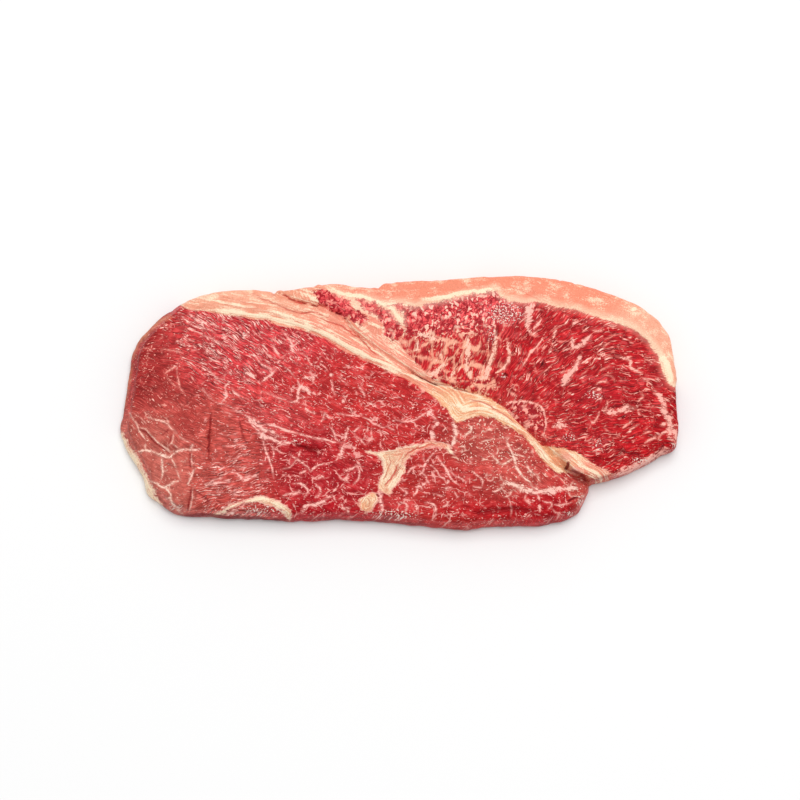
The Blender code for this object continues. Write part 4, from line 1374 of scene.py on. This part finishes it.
# How strongly each colour covers what is under it.
NET_COVER, CLOSE_NET_COVER, BRIGHT_COVER, VEIN_BRIGHT_COVER = 0.9, 0.8, 0.8, 0.4
FIBRE_BLUSH, VEIN_BLUSH, PATCH_BLUSH, BORDER_BLUSH = 0.24, 0.2, 0.04, 0.5
LAYER_COVER, RIDGE_COVER, BORDER_CREAM, FRECKLE_COVER = 0.7, 0.9, 0.6, 0.5
LINE_COVER, RAGGED_COVER = 0.75, 0.7
SIDE_SHADE_COVER, GAP_COVER, CREASE_SHADE_COVER = 0.25, 0.8, 0.92

# How strong the marks are in dull and in bright places, and what they lose on the side.
MARK_STRENGTHS, SIDE_LOSS = (0.72, 1.0), 0.6

# The lean's brightness, how much darker it is beside a streak, and the shades that patches and
# speckles bring to it where their noise is this far below and above nought.
LEAN_SHADE, STREAK_SHADOW = 1.06, 0.26
BROAD_SHADES, PATCH_SHADES, SPECKLE_SHADES = (0.84, 1.12), (0.72, 1.14), (0.88, 1.12)
NOISE_SPAN = 0.2

# Where each mask goes from nought to one: the marks, their bright cores, what lies beside them,
# the channels between lobules, the border of fat, its pale and deep layers and its thin edge.
STREAK_EDGE, FLECK_EDGE, SPECK_EDGE = (-0.025, 0.04), (-0.025, 0.035), (-0.015, 0.03)
NET_EDGE, CLOSE_NET_EDGE, BESIDE_EDGE = (-0.015, 0.03), (-0.015, 0.04), (-0.13, -0.03)
STREAK_CORE, FLECK_CORE, VEIN_CORE = (0.04, 0.14), (0.03, 0.12), (0.15, 0.55)
CHANNEL_EDGE, BORDER_EDGE, THIN_EDGE = (-0.13, 0.11), (-0.6, 0.4), (1.1, 0.1)
PALE_LAYERS, DEEP_LAYERS = (-0.02, 0.20), (-0.04, -0.22)

# The finish: roughness, the wet coat's share on patches and on the places of crystals and painted glints,
# and the gloss.
ROUGHNESS = (0.30, 0.52)
PATCH_COAT, GLINT_PLACE_COAT = 0.25, 0.3
GLOSS = {"Specular IOR Level": 0.06, "Coat Roughness": 0.22, "Coat IOR": 1.36}

# How far each part stands out of the surface, as a share of the relief.
MARK_RISE, FAT_RISE, SPECKLE_RISE, TONE_RISE = 0.03, 0.06, 0.08, 0.4
FIBRE_RISE, BEAD_RISE, LINE_FALL = 0.2, 0.1, 0.2


class MarbledMeat(Nodes):
    """The meat's nodes. Its lean and fat colours come from the mesh, and masks made of the
    mesh's places and of noise in the fibres' own coordinates choose between them."""

    def __init__(self, material, look):
        super().__init__(material)
        self.look = look
        self.flow, self.plan, self.layers = [self.attribute(name, 1) for name in ("flow", "plan", "layers")]
        self.streaky, self.flecked, self.specked = self.parts(self.attribute("marbling", 1))
        self.netted, self.grain, self.glint_and_crystal = self.parts(self.attribute("texture", 1))
        self.vein, self.cream, self.layer_line = self.parts(self.attribute("lines", 1))
        self.depth, self.dark, self.tanned = self.parts(self.attribute("touch", 1))
        self.side, self.mottled, self.layered = self.parts(self.attribute("wall", 1))
        self.vein_width, self.ragged, self.lobed = self.parts(self.attribute("ragged", 1))
        self.lean, self.mark, self.fat = [self.attribute(name, 0) for name in ("lean", "mark", "fat")]
        self.waved = self.bent(self.flow, FIBRE_WAVES)
        self.wavering = self.bent(self.plan, PLAN_WAVES)
        self.curled = self.bent(self.plan, CURL_WAVES)
        self.fibre = self.noise(self.waved, FIBRES, 2, 0.6)
        self.broad = self.noise(self.plan, BROAD_PATCHES, 2)
        self.clump = self.noise(self.wavering, CLUMPS, 2)
        self.patchy = self.noise(self.wavering, PATCHES, 2)
        self.mottle = self.noise(self.wavering, MOTTLES, 2, 0.6)
        self.speckle = self.noise(self.plan, SPECKLES, 2, 0.6)
        self.gate = self.noise(self.plan, GATES, 1)
        self.wobble = self.mottle * 0.7 + self.speckle * 0.4
        self.in_grain = self.step(self.grain + 0.8 * self.patchy, 0.25, 0.6)

    def spread(self, noise, ends):
        """A noise round nought as a value from one end to the other."""
        return self.range(noise, -NOISE_SPAN, NOISE_SPAN, *ends)

    def fat_marks(self):
        """The masks of the fat in the lean: streaks and flecks along the fibres, specks, a wide
        and a close net, and single veins. Then the mask of their brightest parts, and of what
        lies close beside streaks and flecks."""
        crowd = self.mottle * 0.35 + self.clump * 0.2
        streak = self.noise(self.waved, STREAKS, 2, 0.6) + self.clump * 0.2
        streak = streak + self.streaky * STREAK_SHARE - STREAK_LEVEL
        fleck = self.noise(self.waved, FLECKS, 1) + crowd + self.flecked * FLECK_SHARE - FLECK_LEVEL
        speck = self.noise(self.wavering, SPECKS, 0) + crowd + self.specked * SPECK_SHARE - SPECK_LEVEL
        wide = self.cells(self.wavering, WIDE_NET, "DISTANCE_TO_EDGE")
        close = self.cells(self.wavering, CLOSE_NET, "DISTANCE_TO_EDGE")
        net = self.netted * NET_SHARE - NET_LEVEL + self.gate * 0.22 - wide
        close_net = self.netted * CLOSE_NET_SHARE - CLOSE_NET_LEVEL + self.mottle * 0.5 - close
        frayed = self.mottle * 3.0 + self.fibre * 2.5 + self.speckle * 0.6
        single = self.vein + self.wobble * 0.6 + self.fibre * 0.5 + frayed * (self.vein_width * 1.6 - 0.45)
        marks = self.step(streak, *STREAK_EDGE) | self.step(fleck, *FLECK_EDGE)
        marks = marks | self.step(speck, *SPECK_EDGE) | self.step(net, *NET_EDGE) * NET_COVER
        marks = marks | self.step(close_net, *CLOSE_NET_EDGE) * CLOSE_NET_COVER
        marks = marks * self.range(self.mottle, -0.15, 0.10, *MARK_STRENGTHS) * (1 - self.side * SIDE_LOSS)
        marks = marks | self.step(single, self.vein_width * -0.2 - 0.03, self.vein_width * 0.85 + 0.02)
        bright = self.step(streak, *STREAK_CORE) | self.step(fleck, *FLECK_CORE)
        bright = bright | self.step(single, *VEIN_CORE) * VEIN_BRIGHT_COVER
        return marks, bright, self.step(streak | fleck, *BESIDE_EDGE)

    def coarse_grain(self):
        """How far each place of the coarse grain is from the dark net between its beads: nought
        there, and rising towards each bead's pale core."""
        beads = self.cells(self.curled, BEADS, "DISTANCE_TO_EDGE")
        curl = abs(self.noise(self.curled, CURLS, 1))
        return curl * 2.4 + beads * 0.45 + self.speckle * 0.3 + self.mottle * 0.45

    def lean_colour(self, beside, core):
        """The lean: fibres and patches, darker beside streaks and blushing with fat on the palest
        fibres, round veins and under the fat's border, then coarse grain, and the channels of
        fat between lobules."""
        streaked = self.streaky * 0.7 + self.flecked * 0.3 + 0.5
        shade = LEAN_SHADE + self.fibre * streaked * (5 * self.look.contrast) - beside * STREAK_SHADOW
        shade = shade * self.spread(self.broad, BROAD_SHADES) * self.spread(self.patchy, PATCH_SHADES)
        colour = self.mix(1.0, self.lean, self.grey(shade), "MULTIPLY")
        blush = self.step(self.fibre, 0.07, 0.24) * FIBRE_BLUSH
        blush = blush | self.step(self.vein, -0.7, 0.1) * VEIN_BLUSH
        colour = self.mix(blush, colour, self.mark)
        colour = self.mix(self.step(self.patchy, -0.05, 0.25) * PATCH_BLUSH, colour, self.mark)

        tint, _, _ = self.parts(self.cells(self.curled, BEADS, output="Color"))
        beaded = self.mix(self.step(core, 0.30, 0.12), colour, (*self.look.bead_edge, 1))
        beaded = self.mix(self.step(core, 0.37, 0.56) * self.step(tint, 0.1, 0.45), beaded, self.mark)
        colour = self.mix(self.in_grain, colour, beaded)

        lobule = self.cells(self.waved, LOBULES, "DISTANCE_TO_EDGE")
        channel = self.lobed * LOBULE_SHARE - LOBULE_LEVEL + self.gate * 0.55 + self.fibre * 0.2 - lobule
        channel = self.step(channel, *CHANNEL_EDGE) * self.range(self.fibre, -0.15, 0.10, 0.8, 1.0)
        colour = self.mix(channel, colour, self.mark)
        border = self.step(self.depth, -3.5, 0.3) * (1 - self.layered)
        return self.mix(border * BORDER_BLUSH, colour, self.mark)

    def fat_tone(self):
        """How pale the fat is, round nought: layers drawn out beside the seam, contours along
        the borders, and clumps."""
        x, y, _ = self.parts(self.plan)
        _, from_seam, _ = self.parts(self.layers)
        by_depth = self.add("ShaderNodeCombineXYZ", inputs={0: x, 1: y, 2: self.depth})
        contour = self.noise(by_depth, CONTOURS, 2, 0.6)
        layer = self.noise(self.layers, FAT_LAYERS, 3, 0.6) * self.step(from_seam, 11, 8) * self.layered
        tone = layer * 1.2 + contour * (self.layered * 0.6 + self.ragged + 0.2)
        return tone + self.clump * 0.5 + self.speckle * 0.4

    def fat_colour(self, tone):
        """The fat: pale and deep layers, cream ridges, brown lines, freckles, and an edge that
        thins out into marks."""
        cream, brown = (*self.look.cream, 1), (*self.look.brown, 1)
        colour = self.mix(self.step(tone, *PALE_LAYERS) * LAYER_COVER, self.fat, cream)
        deep_fat = (*self.look.deep_fat, 1)
        colour = self.mix(self.step(tone, *DEEP_LAYERS) * LAYER_COVER, colour, deep_fat)
        colour = self.mix(self.step(self.cream + 1.6 * tone, 0.25, 0.8) * RIDGE_COVER, colour, cream)
        border = self.step(self.depth, 4.5, 0.5) * (1 - self.layered)
        colour = self.mix(border * BORDER_CREAM, colour, cream)
        freckle = self.step(self.noise(self.plan, FRECKLES, 2, 0.7), -0.03, -0.16)
        colour = self.mix(freckle * self.mottled * FRECKLE_COVER, colour, brown)
        colour = self.mix(self.step(self.layer_line + tone * 0.6, 0.2, 0.9) * LINE_COVER, colour, brown)
        thinning = self.step(self.depth + self.mottle * 3, *THIN_EDGE) * self.ragged
        return self.mix(thinning * RAGGED_COVER, colour, self.mark)

    def with_rim_crystals_and_painted_light(self, colour, solid_fat):
        """A colour with painted shade low on the sides, the tanned rim, pale crystals with painted glints at
        some places and dark gaps between them, painted shade in the creases, and a fine speckle."""
        crease_shade_and_gap_colour = (*self.look.crease_shade_and_gap_colour, 1)
        lean = 1 - solid_fat
        # Painted shade: the lean low on the sides is darkened towards a dark red.
        colour = self.mix(self.side * lean * SIDE_SHADE_COVER, colour, (*self.look.side_shade, 1))
        tanned = self.tanned * lean * self.range(self.mottle, -0.15, 0.15, 0.5, 1.0)
        colour = self.mix(tanned, colour, (*self.look.tan, 1))
        # Pale crystals, which at some places are painted glints and sheen, with dark gaps between them.
        crystal = self.noise(self.plan, CRYSTALS, 1, 0.6) + self.glint_and_crystal * CRYSTAL_SHARE - CRYSTAL_LEVEL
        gaps = self.step(crystal, -0.09, -0.17) * self.step(self.glint_and_crystal, 0.4, 0.8)
        colour = self.mix(gaps * GAP_COVER, colour, crease_shade_and_gap_colour)
        crystals_and_glints = self.step(crystal, -0.01, 0.03) * self.step(self.glint_and_crystal, 0.1, 0.4) * (1 - self.side)
        colour = self.mix(crystals_and_glints, colour, (*self.look.glint_and_crystal, 1))
        # Painted shade: the creases are darkened towards a dark red where shade would fall in them.
        crease_shade_mask = self.step(self.dark + self.wobble * 0.4, 0.1, 0.9)
        colour = self.mix(crease_shade_mask * CREASE_SHADE_COVER, colour, crease_shade_and_gap_colour)
        return self.mix(1.0, colour, self.grey(self.spread(self.speckle, SPECKLE_SHADES)), "MULTIPLY")

    def build(self):
        """Joins the lean, its marks and the fat, and roughens them: fat stands a little proud of
        the lean, and fibres and grain give it a fine relief."""
        marks, bright, beside = self.fat_marks()
        core, tone = self.coarse_grain(), self.fat_tone()
        border = self.depth + self.wobble * (self.grain * 5.0 + 1.6)
        border = border + self.mottle * self.ragged * 3.0 + self.fibre * 2.0
        solid_fat = self.step(border, *BORDER_EDGE)
        colour = self.mix(marks, self.lean_colour(beside, core), self.mark)
        colour = self.mix(bright * BRIGHT_COVER, colour, (*self.look.mark_bright, 1))
        colour = self.with_rim_crystals_and_painted_light(self.mix(solid_fat, colour, self.fat_colour(tone)), solid_fat)

        raised = marks * MARK_RISE + solid_fat * FAT_RISE + self.speckle * SPECKLE_RISE
        raised = raised + tone * solid_fat * TONE_RISE - self.step(self.layer_line, 0.2, 0.9) * LINE_FALL
        raised = raised + self.fibre * (1 - solid_fat) * FIBRE_RISE
        raised = raised + self.step(core, 0.12, 0.42) * self.in_grain * BEAD_RISE
        inputs = {"Strength": 1.0, "Distance": self.look.relief, "Height": raised}
        normal = self.add("ShaderNodeBump", inputs=inputs)
        dull = self.spread(self.mottle, ROUGHNESS)
        wet = self.step(self.patchy, 0.05, 0.18) * PATCH_COAT * (1 - self.side) + self.glint_and_crystal * GLINT_PLACE_COAT
        shader = self.tree.nodes["Principled BSDF"]
        sockets = {"Base Color": colour, "Roughness": dull, "Coat Weight": wet, "Normal": normal}
        for name, socket in sockets.items():
            self.tree.links.new(socket.output, shader.inputs[name])
        for name, value in GLOSS.items():
            shader.inputs[name].default_value = value


def meat_material(look):
    """The marbled meat, for both muscles."""
    material = bpy.data.materials.new("marbled_meat")
    material.use_nodes = True
    MarbledMeat(material, look).build()
    return material


def colour_setting(name, description, default):
    """A colour that the panel shows."""
    return bpy.props.FloatVectorProperty(
        name=name, description=description, default=default, size=3, subtype="COLOR", min=0, max=1)


def length_setting(name, description, default):
    """A length that the panel shows, in metres."""
    return bpy.props.FloatProperty(name=name, description=description, default=default, unit="LENGTH", min=0)


class SteakLook(bpy.types.PropertyGroup):
    """Colours and sizes of the marbled meat."""

    mark_bright: colour_setting("Bright marbling", "The thickest marks of fat", (0.98, 0.68, 0.58))
    bead_edge: colour_setting(
        "Between beads", "The dark lean between the beads of coarse grain", (0.30, 0.010, 0.016))
    tan: colour_setting("Tanned rim", "The brown rim of the left side", (0.62, 0.20, 0.10))
    cream: colour_setting("Cream fat", "The palest ridges of the fat", (0.88, 0.70, 0.50))
    deep_fat: colour_setting("Deep fat", "The fat between its layers", (0.72, 0.26, 0.16))
    brown: colour_setting("Layer lines", "The thin lines between layers of fat", (0.54, 0.035, 0.025))
    # Painted shade on the muscle's side, below its cut top.
    side_shade: colour_setting("Side shade", "The muscle's side, below its cut top", (0.20, 0.03, 0.03))
    # Pale crystals, and painted glints and sheen on some places.
    glint_and_crystal: colour_setting("Crystals and glints", "The pale sheen on some places", (0.74, 0.58, 0.50))
    # The colour of the painted shade in creases and cracks, and of the dark gaps between crystals.
    crease_shade_and_gap_colour: colour_setting("Crease shade", "The depth of creases and cracks", (0.20, 0.007, 0.010))
    relief: length_setting("Relief", "The height of the fine relief", 0.9 * MM)
    contrast: bpy.props.FloatProperty(
        name="Contrast", description="How much the fibres differ in shade", default=0.56, subtype="FACTOR",
        min=0, max=1)


class SteakStage(bpy.types.PropertyGroup):
    """The soft light, the light from all round, and the floor."""

    floor_size: length_setting("Floor size", "The width of the floor", 12.0)
    light_size: length_setting("Light size", "The width of the soft light", 2.9)
    light_height: length_setting("Light height", "The height of the soft light", 3.5)
    light_power: bpy.props.FloatProperty(
        name="Light power", description="The power of the soft light", default=104.0, unit="POWER", min=0)
    sky: bpy.props.FloatProperty(
        name="Sky", description="The brightness of the light from all round", default=0.66, min=0)


def add_object(name, data):
    """Adds a new object to the scene."""
    added = bpy.data.objects.new(name, data)
    bpy.context.scene.collection.objects.link(added)
    return added


def add_lobe(name, lower):
    """Adds one muscle to the scene with its material, and gives it its body and its place in the solid's
    stead."""
    boundary = Boundary()
    sides = lower_sides(boundary) if lower else upper_sides(boundary)
    points, quads, triangles, under_from = lobe_shape(sides, LOWER_CELLS if lower else UPPER_CELLS)
    vectors, colours = lobe_fields(points, lower, under_from)
    mesh = bpy.data.meshes.new(name)
    places = (points - [*boundary.middle, 0]) * MM
    mesh.from_pydata(places.tolist(), [], quads.tolist() + triangles.tolist())
    for key, values in vectors.items():
        layer = mesh.attributes.new(key, "FLOAT_VECTOR", "POINT")
        layer.data.foreach_set("vector", values.astype(np.float32).ravel())
    for key, values in colours.items():
        layer = mesh.attributes.new(key, "FLOAT_COLOR", "POINT")
        full = np.column_stack([values, np.ones(len(values))])
        layer.data.foreach_set("color", full.astype(np.float32).ravel())
    mesh.shade_smooth()
    mesh.set_sharp_from_angle(angle=np.radians(SHARP_ANGLE))
    mesh.validate()
    found = bpy.data.materials.get("marbled_meat")
    mesh.materials.append(found or meat_material(bpy.context.scene.steak_look))
    piece = add_object(name, mesh)
    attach(piece, "root")
    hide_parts("steak")


def add_floor(size):
    """Adds the pale floor, a square of this width."""
    half = size / 2
    mesh = bpy.data.meshes.new("floor")
    corners = [(-half, -half, 0), (half, -half, 0), (half, half, 0), (-half, half, 0)]
    mesh.from_pydata(corners, [], [(0, 1, 2, 3)])
    material = bpy.data.materials.new("pale_floor")
    material.use_nodes = True
    shader = material.node_tree.nodes["Principled BSDF"]
    shader.inputs["Base Color"].default_value = (*[FLOOR_SHADE] * 3, 1)
    shader.inputs["Roughness"].default_value = FLOOR_ROUGHNESS
    shader.inputs["Specular IOR Level"].default_value = 0.0
    mesh.materials.append(material)
    add_object("floor", mesh)


def add_light(settings):
    """Adds the soft light, turned towards the steak's middle."""
    light = bpy.data.lights.new("soft_light", "AREA")
    light.shape = "DISK"
    light.size = settings.light_size
    light.energy = settings.light_power
    lamp = add_object("soft_light", light)
    (aside, behind), above = LAMP_PLACE, settings.light_height
    lamp.location = (aside, behind, above)
    lamp.rotation_euler = (-np.arctan2(behind, above), np.arctan2(aside, above), 0)


def add_room(strength):
    """Adds even white light from all round."""
    world = bpy.data.worlds.new("white_room")
    world.use_nodes = True
    background = world.node_tree.nodes["Background"]
    background.inputs["Color"].default_value = (1, 1, 1, 1)
    background.inputs["Strength"].default_value = strength
    bpy.context.scene.world = world


def add_camera():
    """Adds the camera and makes it the scene's."""
    eye, _, _ = sight()
    lens = bpy.data.cameras.new("camera")
    lens.lens = LENS
    lens.sensor_width = SENSOR
    lens.dof.use_dof = False
    camera = add_object("camera", lens)
    camera.location = (eye - [*Boundary().middle, 0]) * MM
    camera.rotation_euler = (np.radians(90 - ELEVATION), 0, 0)
    bpy.context.scene.camera = camera


class STEAK_OT_lower_lobe(bpy.types.Operator):
    """Adds the large muscle at the front, with the fat seam behind it"""

    bl_idname = "steak.lower_lobe"
    bl_label = "Lower muscle"

    def execute(self, context):
        add_lobe("lower_lobe", True)
        return {"FINISHED"}


class STEAK_OT_upper_lobe(bpy.types.Operator):
    """Adds the muscle at the back, with its fat cap"""

    bl_idname = "steak.upper_lobe"
    bl_label = "Upper muscle"

    def execute(self, context):
        add_lobe("upper_lobe", False)
        return {"FINISHED"}


class STEAK_OT_stage(bpy.types.Operator):
    """Adds the pale floor, the soft light and the camera"""

    bl_idname = "steak.stage"
    bl_label = "Stage"

    def execute(self, context):
        settings = context.scene.steak_stage
        add_floor(settings.floor_size)
        add_light(settings)
        add_room(settings.sky)
        add_camera()
        context.scene.view_settings.view_transform = "Standard"
        return {"FINISHED"}


class STEAK_PT_panel(bpy.types.Panel):
    """Lists what builds the steak"""

    bl_idname = "STEAK_PT_panel"
    bl_label = "Raw marbled steak"
    bl_space_type = "VIEW_3D"
    bl_region_type = "UI"
    bl_category = "Steak"

    def draw(self, context):
        for operator in OPERATORS:
            self.layout.operator(operator.bl_idname)
        for settings in (context.scene.steak_look, context.scene.steak_stage):
            for name in settings.__annotations__:
                self.layout.prop(settings, name)


OPERATORS = (STEAK_OT_lower_lobe, STEAK_OT_upper_lobe, STEAK_OT_stage)
CLASSES = (SteakLook, SteakStage) + OPERATORS + (STEAK_PT_panel,)


def register():
    """Makes the settings, the operators and the panel known."""
    for cls in CLASSES:
        bpy.utils.register_class(cls)
    bpy.types.Scene.steak_look = bpy.props.PointerProperty(type=SteakLook)
    bpy.types.Scene.steak_stage = bpy.props.PointerProperty(type=SteakStage)


def unregister():
    """Takes all of that away again."""
    del bpy.types.Scene.steak_stage
    del bpy.types.Scene.steak_look
    for cls in reversed(CLASSES):
        bpy.utils.unregister_class(cls)


def main():
    """Builds the steak and its stage."""
    register()
    bpy.ops.steak.lower_lobe()
    bpy.ops.steak.upper_lobe()
    bpy.ops.steak.stage()


if __name__ == "__main__":
    main()
